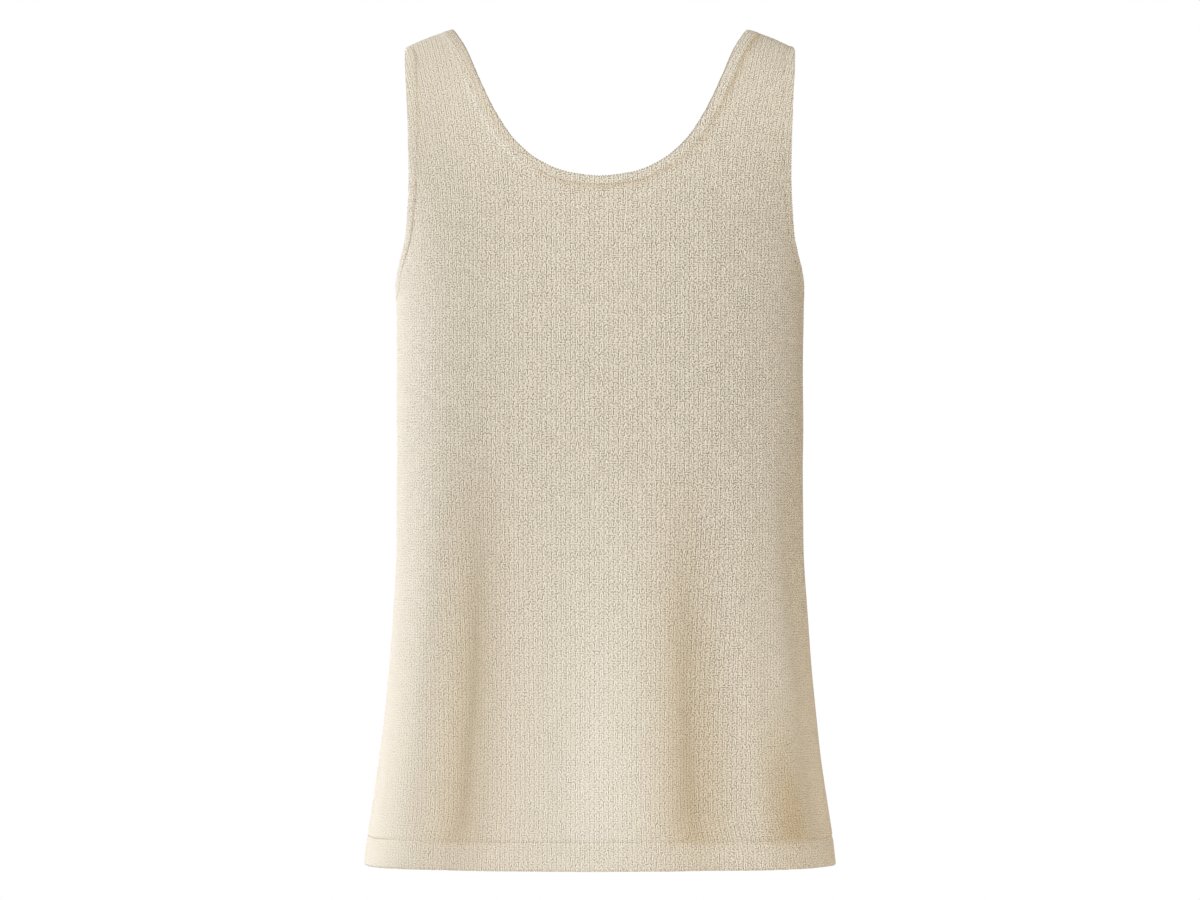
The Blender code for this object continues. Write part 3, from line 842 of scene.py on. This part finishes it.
class Number:
    """A number in a tree's nodes; reckoning with it adds Math nodes."""

    def __init__(self, tree, socket):
        self.tree = tree
        self.socket = socket

    def by(self, operation, other=None):
        """This number after an operation, with another number or a plain value if it takes one."""
        inputs = {0: self.socket}
        if other is not None:
            inputs[1] = getattr(other, "socket", other)
        outputs = add_node(self.tree, "ShaderNodeMath", inputs, operation=operation)
        return Number(self.tree, outputs[0])

    def __add__(self, other):
        return self.by("ADD", other)

    def __sub__(self, other):
        return self.by("SUBTRACT", other)

    def __mul__(self, other):
        return self.by("MULTIPLY", other)


def split(tree, vector):
    """A vector's X and Y as numbers."""
    parts = add_node(tree, "ShaderNodeSeparateXYZ", {"Vector": vector})
    return Number(tree, parts["X"]), Number(tree, parts["Y"])


def stretched_range(number, low, high, to_low=0.0, to_high=1.0):
    """A number's range as another one, eased at both ends."""
    inputs = {
        "Value": number.socket,
        "From Min": low,
        "From Max": high,
        "To Min": to_low,
        "To Max": to_high,
    }
    eased = add_node(number.tree, "ShaderNodeMapRange", inputs, interpolation_type="SMOOTHSTEP")
    return Number(number.tree, eased["Result"])


def cell_noise(across, along):
    """A random value for each cell of a grid, from its two coordinates in cells."""
    cells = {"X": across.by("FLOOR").socket, "Y": along.by("FLOOR").socket}
    cell = add_node(across.tree, "ShaderNodeCombineXYZ", cells)["Vector"]
    noise = add_node(across.tree, "ShaderNodeTexWhiteNoise", {"Vector": cell}, noise_dimensions="2D")
    return Number(across.tree, noise["Value"])


def smooth_noise(tree, vector, scale, detail, roughness=0.5):
    inputs = {"Vector": vector, "Scale": scale, "Detail": detail, "Roughness": roughness}
    return add_node(tree, "ShaderNodeTexNoise", inputs)


def scaled_vector(tree, vector, scale):
    return add_node(tree, "ShaderNodeMapping", {"Vector": vector, "Scale": scale})["Vector"]


def colour_ramp(tree, factor, *stops):
    """A colour that runs through the stops' colours, each with its place."""
    node = tree.nodes.new("ShaderNodeValToRGB")
    ramp = node.color_ramp
    while len(ramp.elements) < len(stops):
        ramp.elements.new(0.5)
    for element, (place, colour) in zip(ramp.elements, stops):
        element.position = place
        element.color = (*colour, 1.0)
    fill(tree, node, {"Fac": factor})
    return node.outputs["Color"]


def mottled_colour(tree, colour, darker, scale, start, end):
    """A colour with darker spots, and the noise that makes them."""
    place = add_node(tree, "ShaderNodeTexCoord")["Object"]
    spots = smooth_noise(tree, place, scale, 2.0)["Fac"]
    shade = tuple(darker * part for part in colour)
    return colour_ramp(tree, spots, (start, shade), (end, colour)), spots


# ---------------------------------------------------------------- materials


def new_material(name):
    material = bpy.data.materials.new(name)
    material.use_nodes = True
    tree = material.node_tree
    return material, tree, tree.nodes["Principled BSDF"]


def set_yarn_surface(tree, shader, colour, height, strength, distance):
    """The soft, matte finish of the yarn, with its colour and its relief."""
    finish = bpy.context.scene.knit_top_finish
    relief = {"Strength": strength, "Distance": distance, "Height": height}
    bump = add_node(tree, "ShaderNodeBump", relief)
    surface = {
        "Base Color": colour,
        "Normal": bump["Normal"],
        "Roughness": finish.roughness,
        "Specular IOR Level": 0.18,
        "Sheen Weight": finish.sheen,
        "Sheen Roughness": 0.45,
        "Sheen Tint": (1.0, 0.97, 0.92, 1.0),
    }
    fill(tree, shader, surface)


def wale_grain(tree):
    """The grain map as it is, and counted in stitches that stray a little."""
    finish = bpy.context.scene.knit_top_finish
    grain = add_node(tree, "ShaderNodeUVMap", uv_map="grain")["UV"]
    per_stitch = (1.0 / finish.wale_width, 1.0 / finish.course_height, 1.0)
    stitches = scaled_vector(tree, grain, per_stitch)
    wander = smooth_noise(tree, stitches, WANDER_SCALE, 2.0, NOISE_ROUGHNESS)["Color"]
    amount = (finish.wander, WANDER_ALONG * finish.wander, 0.0)
    inputs = {0: wander, 1: amount, 2: stitches}
    strayed = add_node(tree, "ShaderNodeVectorMath", inputs, operation="MULTIPLY_ADD")
    return grain, strayed["Vector"]


def knit_clearness(tree, place, at_shoulder):
    """How clearly the stitches show: most on the chest, less on the sides, the left and the hem."""
    finish = bpy.context.scene.knit_top_finish
    right, up = split(tree, place)
    lower = stretched_range(up, *CLEAR_FROM_HEM, finish.lower_contrast, 1.0)
    upper = stretched_range(up, *CLEAR_TO_SHOULDER, 1.0, at_shoulder)
    left_edge = stretched_range(right, *CLEAR_FROM_LEFT, finish.left_contrast, 1.0)
    to_right = stretched_range(right, *CLEAR_TO_RIGHT, 1.0, finish.right_contrast)
    right_edge = stretched_range(right, *CLEAR_AT_RIGHT_EDGE, 1.0, RIGHT_EDGE_CONTRAST)
    return lower * upper * left_edge * to_right * right_edge


def knit_material(name, at_shoulder):
    """Plain knit from the grain map: wales of two slanting legs, uneven yarn and pinholes, with painted
    shade between the stitches and painted highlights on their tops.
    """
    finish = bpy.context.scene.knit_top_finish
    material, tree, shader = new_material(name)
    place, stitches = wale_grain(tree)
    across, along = split(tree, stitches)

    in_wale = across.by("PINGPONG", 0.5)
    leg = (in_wale * (2.0 * math.pi)).by("SINE").by("MAXIMUM", 0.0).by("POWER", 1.2)
    slanted = along + in_wale * LEG_SLANT
    strand = (slanted * math.pi).by("SINE").by("ABSOLUTE").by("POWER", 0.5)
    strand = strand * (1.0 - STRAND_FLOOR) + STRAND_FLOOR
    chance = cell_noise(across * 2.0, slanted * 2.2)
    noises = [
        smooth_noise(tree, scaled_vector(tree, stitches, scale), 1.0, detail, NOISE_ROUGHNESS)
        for scale, detail in (FIBRE_NOISE, SLUB_NOISE, MOTTLE_NOISE)
    ]
    fibre, slub, mottle = (Number(tree, noise["Fac"]) for noise in noises)

    row = (along * math.pi).by("SINE").by("ABSOLUTE").by("POWER", 3.0)
    luck = cell_noise(across + 0.5, along)
    hole = stretched_range(in_wale, *PINHOLE_EDGE) * row * (luck * 0.25 + 0.75)
    height = leg * strand * (chance + 0.4) + fibre * 0.35 - hole * 0.4

    uneven = (leg - LEG_MEAN) * (chance * LEG_CHANCE - LEG_CHANCE_OFF)
    parts = (fibre, slub, mottle, strand, hole)
    for part, (mean, weight) in zip(parts, TONE_WEIGHTS):
        uneven = uneven + (part - mean) * weight
    clearness = knit_clearness(tree, place, at_shoulder)
    tone = uneven * clearness * finish.contrast + finish.tone_middle
    # The ramp runs from dark yarn and painted shade between the stitches, through the yarn's colour, to
    # light yarn and painted highlights on the stitches' tops.
    stops = ((0.02, finish.dark_yarn_and_shade_colour), (0.50, finish.yarn_colour), (0.98, finish.light_yarn_and_highlight_colour))
    colour = colour_ramp(tree, tone.socket, *stops)

    # Painted shade: the attribute multiplies the yarn's colour by a warm tint, and where it is below 0
    # lightens it as a painted highlight.
    painted_shade = add_node(tree, "ShaderNodeAttribute", attribute_name="painted_shade")["Fac"]
    mixed = {MIX_FACTOR: painted_shade, MIX_FIRST: colour, MIX_SECOND: (*finish.painted_shade_tint, 1.0)}
    mix = {"data_type": "RGBA", "blend_type": "MULTIPLY", "clamp_factor": False}
    shaded = add_node(tree, "ShaderNodeMix", mixed, **mix)[MIX_COLOUR]
    set_yarn_surface(tree, shader, shaded, height.socket, clearness.socket, finish.stitch_relief)
    return material


def sewing_material(name, colour):
    """Twisted sewing yarn, with a fine uneven grain."""
    material, tree, shader = new_material(name)
    mottled, ply = mottled_colour(tree, colour, 0.72, 1400.0, 0.3, 0.65)
    set_yarn_surface(tree, shader, mottled, ply, 0.6, 0.15 * MM)
    return material


def stage_material(name, colour):
    material, tree, shader = new_material(name)
    mottled, _ = mottled_colour(tree, colour, 0.97, 3.0, 0.3, 0.7)
    fill(tree, shader, {"Base Color": mottled, "Roughness": 0.9})
    return material


# ---------------------------------------------------------------- sewing, by Geometry Nodes


def stitch_tree():
    """Short yarn stitches along a path, turned to it and to the way out of the cloth."""
    tree = bpy.data.node_groups.new("Yarn stitches", "GeometryNodeTree")
    face = tree.interface
    face.new_socket("Geometry", in_out="OUTPUT", socket_type="NodeSocketGeometry")
    for label, kind in STITCH_INPUTS.items():
        face.new_socket(label, in_out="INPUT", socket_type="NodeSocket" + kind)

    def outputs(kind, inputs=None, **settings):
        return add_node(tree, kind, inputs, **settings)

    given = outputs("NodeGroupInput")
    curve = outputs("GeometryNodeMeshToCurve", {"Mesh": given["Geometry"]})["Curve"]
    spaced = {"Curve": curve, "Length": given["Spacing"]}
    points = outputs("GeometryNodeResampleCurve", spaced, mode="LENGTH")["Curve"]

    bead = outputs("GeometryNodeMeshIcoSphere", {"Radius": 0.5, "Subdivisions": 2})["Mesh"]
    sizes = {"X": given["Length"], "Y": given["Width"], "Z": given["Height"]}
    size = outputs("ShaderNodeCombineXYZ", sizes)["Vector"]
    stitch = outputs("GeometryNodeTransform", {"Geometry": bead, "Scale": size})["Geometry"]

    align, vector = "FunctionNodeAlignRotationToVector", "FLOAT_VECTOR"
    out = outputs("GeometryNodeInputNamedAttribute", {"Name": "out"}, data_type=vector)["Attribute"]
    turn = outputs(align, {"Vector": out}, axis="Z")["Rotation"]
    tangent = outputs("GeometryNodeInputTangent")["Tangent"]
    to_path = {"Rotation": turn, "Vector": tangent}
    turn = outputs(align, to_path, axis="X", pivot_axis="Z")["Rotation"]
    span = {2: -STITCH_WOBBLE, 3: STITCH_WOBBLE, "Seed": given["Seed"]}
    wobble = outputs("FunctionNodeRandomValue", span)[1]
    leaned = outputs("ShaderNodeMath", {0: wobble, 1: given["Lean"]}, operation="ADD")["Value"]
    lean = outputs("ShaderNodeCombineXYZ", {"Z": leaned})["Vector"]
    by_lean = {"Rotation": turn, "Rotate By": lean}
    turn = outputs("FunctionNodeRotateRotation", by_lean, rotation_space="LOCAL")["Rotation"]

    span = {0: LEAST_PLUMP, 1: MOST_PLUMP, "Seed": given["Seed"]}
    plump = outputs("FunctionNodeRandomValue", span, data_type=vector)[0]
    placing = {"Points": points, "Instance": stitch, "Rotation": turn, "Scale": plump}
    placed = outputs("GeometryNodeInstanceOnPoints", placing)["Instances"]
    real = outputs("GeometryNodeRealizeInstances", {"Geometry": placed})["Geometry"]
    smooth = outputs("GeometryNodeSetShadeSmooth", {"Geometry": real})["Geometry"]
    yarn = {"Geometry": smooth, "Material": given["Material"]}
    sewn = outputs("GeometryNodeSetMaterial", yarn)["Geometry"]
    outputs("NodeGroupOutput", {"Geometry": sewn})
    return tree


def sew(name, tree, paths, material, *sizes):
    """One mesh of stitches along paths, each an array of points and an array of ways out.

    The sizes are the tree's inputs from Spacing to Seed.
    """
    vertices, edges, out = [], [], []
    for points, normals in paths:
        first = len(vertices)
        vertices += points.tolist()
        out += normals.tolist()
        edges += [(first + here, first + here + 1) for here in range(len(points) - 1)]
    mesh = bpy.data.meshes.new(name + "_path")
    mesh.from_pydata(vertices, edges, [])
    layer = mesh.attributes.new("out", "FLOAT_VECTOR", "POINT")
    layer.data.foreach_set("vector", np.array(out, dtype=np.float32).ravel())
    path = new_object(name + "_path", mesh)
    modifier = path.modifiers.new("Stitches", "NODES")
    modifier.node_group = tree
    values = dict(zip(list(STITCH_INPUTS)[1:], (*sizes, material)))
    for socket in tree.interface.items_tree:
        if socket.in_out == "INPUT" and socket.name in values:
            modifier[socket.identifier] = values[socket.name]
    depsgraph = bpy.context.evaluated_depsgraph_get()
    stitched = bpy.data.meshes.new_from_object(path.evaluated_get(depsgraph), depsgraph=depsgraph)
    bpy.data.objects.remove(path, do_unlink=True)
    if not stitched.polygons:
        raise RuntimeError(name + " has no stitches")
    stitched.name = name
    if not stitched.materials:
        stitched.materials.append(material)
    return new_object(name, stitched)


def cloth_path(side, bearing, level, lift):
    """A path on the cloth, lifted off the form, with the way out at each point."""
    normal = form_normal(side, bearing, level)
    return form_point(side, bearing, level) + normal * lift, normal


def opening_paths(name, rail, lift):
    """Paths along one rail of the neck or of both armholes, on the front and the back."""
    paths = []
    for side in (FRONT, BACK):
        line = side_rails(side)[name][rail]
        bearing, level = rail_at(line, even_index(side, line, PATH_STEP))
        if name == "neck":
            bearing = np.concatenate((bearing, -bearing[-2::-1]))
            level = np.concatenate((level, level[-2::-1]))
            paths.append(cloth_path(side, bearing, level, lift))
        else:
            paths += [cloth_path(side, bearing * mirror, level, lift) for mirror in (1.0, -1.0)]
    return paths


def tack_path():
    """A short path below the neck band's seam, at the centre front."""
    seam = side_rails(FRONT)["neck"]["seam"]
    level = np.full(2, seam[1][-1] + TACK_DROP)
    bearing = np.array(TACK_ENDS) / (SECTIONS["half_width"][CHEST_ROW] * MM)
    return [cloth_path(FRONT, bearing, level, 0.0)]


def hem_paths(level_value, lift):
    """Paths round the hem at one level, on the front and the back."""
    bearing = np.radians(np.linspace(-90.0, 90.0, 241))
    level = np.full_like(bearing, level_value)
    return [cloth_path(side, bearing, level, lift) for side in (FRONT, BACK)]


# ---------------------------------------------------------------- stage


def add_floor():
    """A plain pale disc of floor, as far below the hem as under a standing wearer."""
    stage = bpy.context.scene.knit_top_stage
    turn = np.linspace(0.0, 2.0 * math.pi, FLOOR_SIDES + 1)[:-1]
    rim = stage.floor_radius * np.stack((np.cos(turn), np.sin(turn)), axis=1)
    height = np.full((FLOOR_SIDES, 1), HEM_HEIGHT - stage.floor_drop)
    mesh = bpy.data.meshes.new("floor")
    mesh.from_pydata(np.concatenate((rim, height), axis=1).tolist(), [], [tuple(range(FLOOR_SIDES))])
    mesh.materials.append(stage_material("pale_floor", (0.93, 0.93, 0.93)))
    new_object("floor", mesh)


def add_softbox(name, azimuth, elevation, distance, size, power, colour):
    """A large soft light that shines at the middle of the top; azimuth 0 is in front of it."""
    turn, rise = math.radians(azimuth), math.radians(elevation)
    across, ahead = math.sin(turn) * math.cos(rise), -math.cos(turn) * math.cos(rise)
    light = bpy.data.lights.new(name, "AREA")
    light.shape = "RECTANGLE"
    light.size, light.size_y = size
    light.energy = power
    light.color = colour
    lamp = new_object(name, light)
    centre = np.array((0.0, 0.0, 0.5 * HEM_HEIGHT))
    lamp.location = centre + np.array((across, ahead, math.sin(rise))) * distance
    lamp.rotation_euler = (0.5 * math.pi - rise, 0.0, turn)
    lamp.visible_camera = False


def add_world():
    """A white room: evenly bright in front of the top, and dimmer and warmer behind it."""
    stage = bpy.context.scene.knit_top_stage
    world = bpy.data.worlds.new("white_room")
    world.use_nodes = True
    tree = world.node_tree
    seen = tree.nodes["Background"]
    fill(tree, seen, {"Color": (1.0, 1.0, 1.0, 1.0), "Strength": 1.0})
    _, behind = split(tree, add_node(tree, "ShaderNodeTexCoord")["Generated"])
    behind = stretched_range(behind, *BEHIND_FADE)
    front = tuple(stage.front_light * part for part in stage.front_colour)
    back = tuple(stage.back_light * part for part in stage.back_colour)
    colour = colour_ramp(tree, behind.socket, (0.0, front), (1.0, back))
    ambient = add_node(tree, "ShaderNodeBackground", {"Color": colour, "Strength": 1.0})
    camera_ray = add_node(tree, "ShaderNodeLightPath")["Is Camera Ray"]
    room = {"Fac": camera_ray, 1: ambient["Background"], 2: seen.outputs["Background"]}
    mixed = add_node(tree, "ShaderNodeMixShader", room)["Shader"]
    fill(tree, tree.nodes["World Output"], {"Surface": mixed})
    bpy.context.scene.world = world


def add_camera():
    """A long lens straight in front, level with the middle of the top."""
    stage = bpy.context.scene.knit_top_stage
    data = bpy.data.cameras.new("camera")
    data.sensor_width = 36.0
    data.lens = data.sensor_width * stage.camera_distance / stage.frame_width
    data.clip_end = 100.0
    camera = new_object("camera", data)
    camera.location = (0.0, -stage.camera_distance, -stage.camera_drop)
    camera.rotation_euler = (0.5 * math.pi, 0.0, 0.0)
    bpy.context.scene.camera = camera


# ---------------------------------------------------------------- add-on


def plain(name, description, default, **more):
    """A number that a user can change."""
    return bpy.props.FloatProperty(name=name, description=description, default=default, **more)


def length(name, description, default):
    """A length that a user can change."""
    return plain(name, description, default, unit="LENGTH")


def power(name, description, default):
    """A light's power that a user can change."""
    return plain(name, description, default, unit="POWER")


def tint(name, description, default):
    """A colour that a user can change."""
    return bpy.props.FloatVectorProperty(
        name=name, description=description, default=default, subtype="COLOR")


class KnitTopCloth(bpy.types.PropertyGroup):
    """Sizes of the cloth, its edges and its folds."""

    panel_thickness: length("Panel Thickness", "Thickness of the single knit", 1.6 * MM)
    hem_thickness: length("Hem Thickness", "Thickness of the turned-up edge", 2.8 * MM)
    hem_depth: length("Hem Depth", "How far the lower edge is turned up", 20.5 * MM)
    groove_depth: length("Groove Depth", "How far stitches draw the cloth in", 0.5 * MM)
    band_thickness: length("Band Thickness", "Thickness of the doubled bands", 2.7 * MM)
    band_rise: length("Band Rise", "How far a band stands over the panel", 0.5 * MM)
    band_tuck: length("Band Tuck", "How far a panel reaches into a band", 1.6 * MM)
    fold_depth: plain("Fold Depth", "Share of the folds' depths in the table", 1.0, min=0.0, max=1.5)
    unevenness: length("Unevenness", "Height of the slow waves in the cloth", 0.35 * MM)
    strap_lean: plain("Strap Lean", "Slope of the wales at the top of the straps", 0.14)
    band_lean: plain("Band Lean", "Slope of the wales in the neck band at the top", 0.38)
    lean_level: length("Lean Level", "Level from which the wales start to straighten", 0.09)
    mesh_spacing: length("Mesh Spacing", "Spacing of the cloth's mesh", 2.5 * MM)


class KnitTopFinish(bpy.types.PropertyGroup):
    """Stitch sizes and colours."""

    wale_width: length("Wale Width", "Width of one column of stitches", 3.3 * MM)
    course_height: length("Course Height", "Height of one row of stitches", 1.7 * MM)
    stitch_relief: length("Stitch Relief", "Depth of the stitches' relief", 0.35 * MM)
    wander: plain("Wander", "How far stitches stray, in stitches", 0.35)
    contrast: plain("Contrast", "How strongly the yarn's tone varies", 1.30)
    lower_contrast: plain("Lower Contrast", "Share of the contrast that is left at the hem", 0.56)
    upper_contrast: plain("Upper Contrast", "Share of the contrast left at the shoulders", 0.58)
    band_contrast: plain("Band Contrast", "Share of the bands' contrast at the shoulders", 0.6)
    left_contrast: plain("Left Contrast", "Share of the contrast left at the left seam", 0.5)
    right_contrast: plain("Right Contrast", "How much the contrast grows toward the right", 1.45)
    tone_middle: plain("Tone Middle", "Tone of the yarn between its dark and light colours", 0.62)
    roughness: plain("Roughness", "Roughness of the yarn", 0.95)
    sheen: plain("Sheen", "Sheen of the yarn's fuzz", 0.12)
    yarn_colour: tint("Yarn", "Colour of the yarn", (0.78, 0.68, 0.525))
    # Light Yarn is partly painted highlight on the stitches' tops, and Deep Yarn partly painted shade
    # between the stitches.
    light_yarn_and_highlight_colour: tint("Light Yarn", "Colour of the stitches' tops", (1.0, 0.93, 0.80))
    dark_yarn_and_shade_colour: tint("Deep Yarn", "Colour between the stitches", (0.34, 0.26, 0.16))
    # Painted shade: the tint that the yarn's colour is multiplied by in the folds, on the right flank
    # and beside the seams.
    painted_shade_tint: tint(
        "Painted Shade Tint", "What the yarn's colour is multiplied by in the troughs", (0.86, 0.797, 0.702))


class KnitTopStage(bpy.types.PropertyGroup):
    """The floor, the light and the camera."""

    floor_drop: length("Floor Drop", "Height of the hem over the floor", 0.85)
    floor_radius: length("Floor Radius", "Radius of the floor", 4.0)
    front_light: plain("Front Light", "Strength of the room's light in front", 1.02)
    front_colour: tint("Front Colour", "Colour of the room's light in front", (1.0, 1.0, 1.0))
    back_light: plain("Back Light", "Strength of the room's light behind", 0.12)
    back_colour: tint("Back Colour", "Colour of the room's light behind", (1.0, 0.86, 0.66))
    side_power: power("Side Power", "Power of the softbox behind the left side", 75.0)
    top_power: power("Top Power", "Power of the softbox over the shoulders", 3.6)
    right_power: power("Right Power", "Power of the softbox beside the right flank", 18.5)
    low_power: power("Low Power", "Power of the low softbox in front", 1.1)
    camera_distance: length("Camera Distance", "From the camera to the top's middle", 7.0)
    camera_drop: length("Camera Drop", "Depth of the camera below the shoulders", 0.294)
    frame_width: length("Frame Width", "Width of the view at the top's middle", 0.84)


class KNITTOP_OT_panels(bpy.types.Operator):
    """Make the front and the back of the top"""

    bl_idname = "knit_top.panels"
    bl_label = "Front and Back"

    def execute(self, context):
        material = knit_material("cream_knit", context.scene.knit_top_finish.upper_contrast)
        cuts = {"front": (FRONT, (0.47, 0.63), 0.225), "back": (BACK, (0.47, 0.63), 0.225)}
        for node, (side, flat, area) in cuts.items():
            panel = build_panel(side, node + "_panel", material)
            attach(panel, "root")
            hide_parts(node)
        return {"FINISHED"}


class KNITTOP_OT_bands(bpy.types.Operator):
    """Make the neck band and both armhole bands"""

    bl_idname = "knit_top.bands"
    bl_label = "Bands"

    def execute(self, context):
        cloth = context.scene.knit_top_cloth
        material = knit_material("band_knit", context.scene.knit_top_finish.band_contrast)
        for name, node, opening, mirrors, slope, flat in (
            ("neck_binding", "neck_band", "neck", (1.0, -1.0), cloth.band_lean, (0.0105, 0.64)),
            ("armhole_binding_right", "armhole_band_right", "armhole", (1.0,), cloth.strap_lean,
             (0.0105, 0.43)),
            ("armhole_binding_left", "armhole_band_left", "armhole", (-1.0,), cloth.strap_lean,
             (0.0105, 0.43)),
        ):
            band = build_band(name, opening, mirrors, slope, material)
            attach(band, "root")
            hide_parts(node)
        return {"FINISHED"}


class KNITTOP_OT_sewing(bpy.types.Operator):
    """Sew the hem, the seams and the edges"""

    bl_idname = "knit_top.sewing"
    bl_label = "Sewing"

    def execute(self, context):
        cloth = context.scene.knit_top_cloth
        finish = context.scene.knit_top_finish
        tree = stitch_tree()
        # The sewing yarn has the light yarn's colour, partly painted highlight.
        light = sewing_material("sewing_yarn", tuple(finish.light_yarn_and_highlight_colour))
        plain_yarn = sewing_material("edge_yarn", tuple(finish.yarn_colour))
        # The rim yarn is a darker copy of the yarn: painted shade on the neck's edge loops.
        painted_shade_rim_yarn = sewing_material("painted_shade_rim_yarn", tuple(0.75 * part for part in finish.yarn_colour))
        wale = finish.wale_width
        middle = cloth.band_rise - 0.5 * cloth.band_thickness
        hem = hem_paths(HEM_LEVEL - cloth.hem_depth, -0.75 * cloth.groove_depth)
        hem_edge = hem_paths(HEM_LEVEL - 0.45 * HEM_ROUNDING, -0.5 * cloth.hem_thickness)
        neck_seam = opening_paths("neck", "seam", 0.0)
        arm_seams = opening_paths("armhole", "seam", 0.0)
        neck_rim = opening_paths("neck", "edge", middle)
        arm_rims = opening_paths("armhole", "edge", middle)
        # Each row has the name, path and yarn, then spacing, length, width, height, lean and seed.
        for name, paths, yarn, *sizes in (
            ("hem_stitches", hem, plain_yarn, wale, 0.7 * wale, 0.6 * MM, 0.55 * MM, 0.12, 3),
            ("hem_edge_loops", hem_edge, plain_yarn, 0.5 * wale, 1.5 * MM, 2.0 * MM, 2.2 * MM, 0.0, 5),
            ("neck_stitches", neck_seam, plain_yarn, 0.75 * wale, 2.0 * MM, 0.6 * MM, 0.7 * MM, 0.5, 7),
            ("neck_tack_stitches", tack_path(), light, 6.5 * MM, 1.9 * MM, 0.8 * MM, 0.8 * MM, 0.3, 2),
            ("armhole_stitches", arm_seams, plain_yarn, 0.75 * wale, 1.8 * MM, 0.5 * MM, 0.6 * MM,
             0.5, 11),
            ("neck_edge_loops", neck_rim, painted_shade_rim_yarn, 0.6 * wale, 1.7 * MM, 1.5 * MM, 2.3 * MM, 0.0, 13),
            ("armhole_edge_loops", arm_rims, plain_yarn, 0.55 * wale, 1.7 * MM, 1.6 * MM, 2.3 * MM,
             0.0, 17),
        ):
            piece = sew(name, tree, paths, yarn, *sizes)
            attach(piece, "root")
        return {"FINISHED"}


class KNITTOP_OT_stage(bpy.types.Operator):
    """Make the floor, the lights and the camera"""

    bl_idname = "knit_top.stage"
    bl_label = "Stage"

    def execute(self, context):
        stage = context.scene.knit_top_stage
        add_floor()
        add_world()
        # Each row has the name, azimuth, elevation, distance, size, power and colour.
        for softbox in (
            ("side_softbox", -125.0, 10.0, 3.0, (1.2, 2.0), stage.side_power, (0.94, 1.0, 1.12)),
            ("top_softbox", -30.0, 62.0, 2.0, (1.2, 1.2), stage.top_power, (1.0, 1.0, 1.0)),
            ("right_softbox", 96.0, 0.0, 3.0, (1.2, 2.0), stage.right_power, (1.0, 0.93, 0.80)),
            ("low_softbox", 0.0, -20.0, 1.7, (1.4, 1.0), stage.low_power, (1.0, 1.0, 1.0)),
        ):
            add_softbox(*softbox)
        add_camera()
        view = context.scene.view_settings
        view.view_transform = "Standard"
        view.look = "None"
        return {"FINISHED"}


class KNITTOP_PT_sidebar(bpy.types.Panel):
    """Lists what makes the knit top"""

    bl_idname = "KNITTOP_PT_sidebar"
    bl_label = "Knit Top"
    bl_space_type = "VIEW_3D"
    bl_region_type = "UI"
    bl_category = "Knit Top"

    def draw(self, context):
        for operator in OPERATORS:
            self.layout.operator(operator.bl_idname)
        for settings in (context.scene.knit_top_cloth, context.scene.knit_top_finish):
            for name in settings.__annotations__:
                self.layout.prop(settings, name)


SETTINGS = {
    "knit_top_cloth": KnitTopCloth,
    "knit_top_finish": KnitTopFinish,
    "knit_top_stage": KnitTopStage,
}
OPERATORS = (KNITTOP_OT_panels, KNITTOP_OT_bands, KNITTOP_OT_sewing, KNITTOP_OT_stage)


def register():
    for settings in SETTINGS.values():
        bpy.utils.register_class(settings)
    for name, settings in SETTINGS.items():
        setattr(bpy.types.Scene, name, bpy.props.PointerProperty(type=settings))
    for operator in OPERATORS:
        bpy.utils.register_class(operator)
    bpy.utils.register_class(KNITTOP_PT_sidebar)


def unregister():
    bpy.utils.unregister_class(KNITTOP_PT_sidebar)
    for operator in reversed(OPERATORS):
        bpy.utils.unregister_class(operator)
    for name, settings in SETTINGS.items():
        delattr(bpy.types.Scene, name)
        bpy.utils.unregister_class(settings)


def main():
    register()
    bpy.ops.knit_top.panels()
    bpy.ops.knit_top.bands()
    bpy.ops.knit_top.sewing()
    bpy.ops.knit_top.stage()


if __name__ == "__main__":
    main()
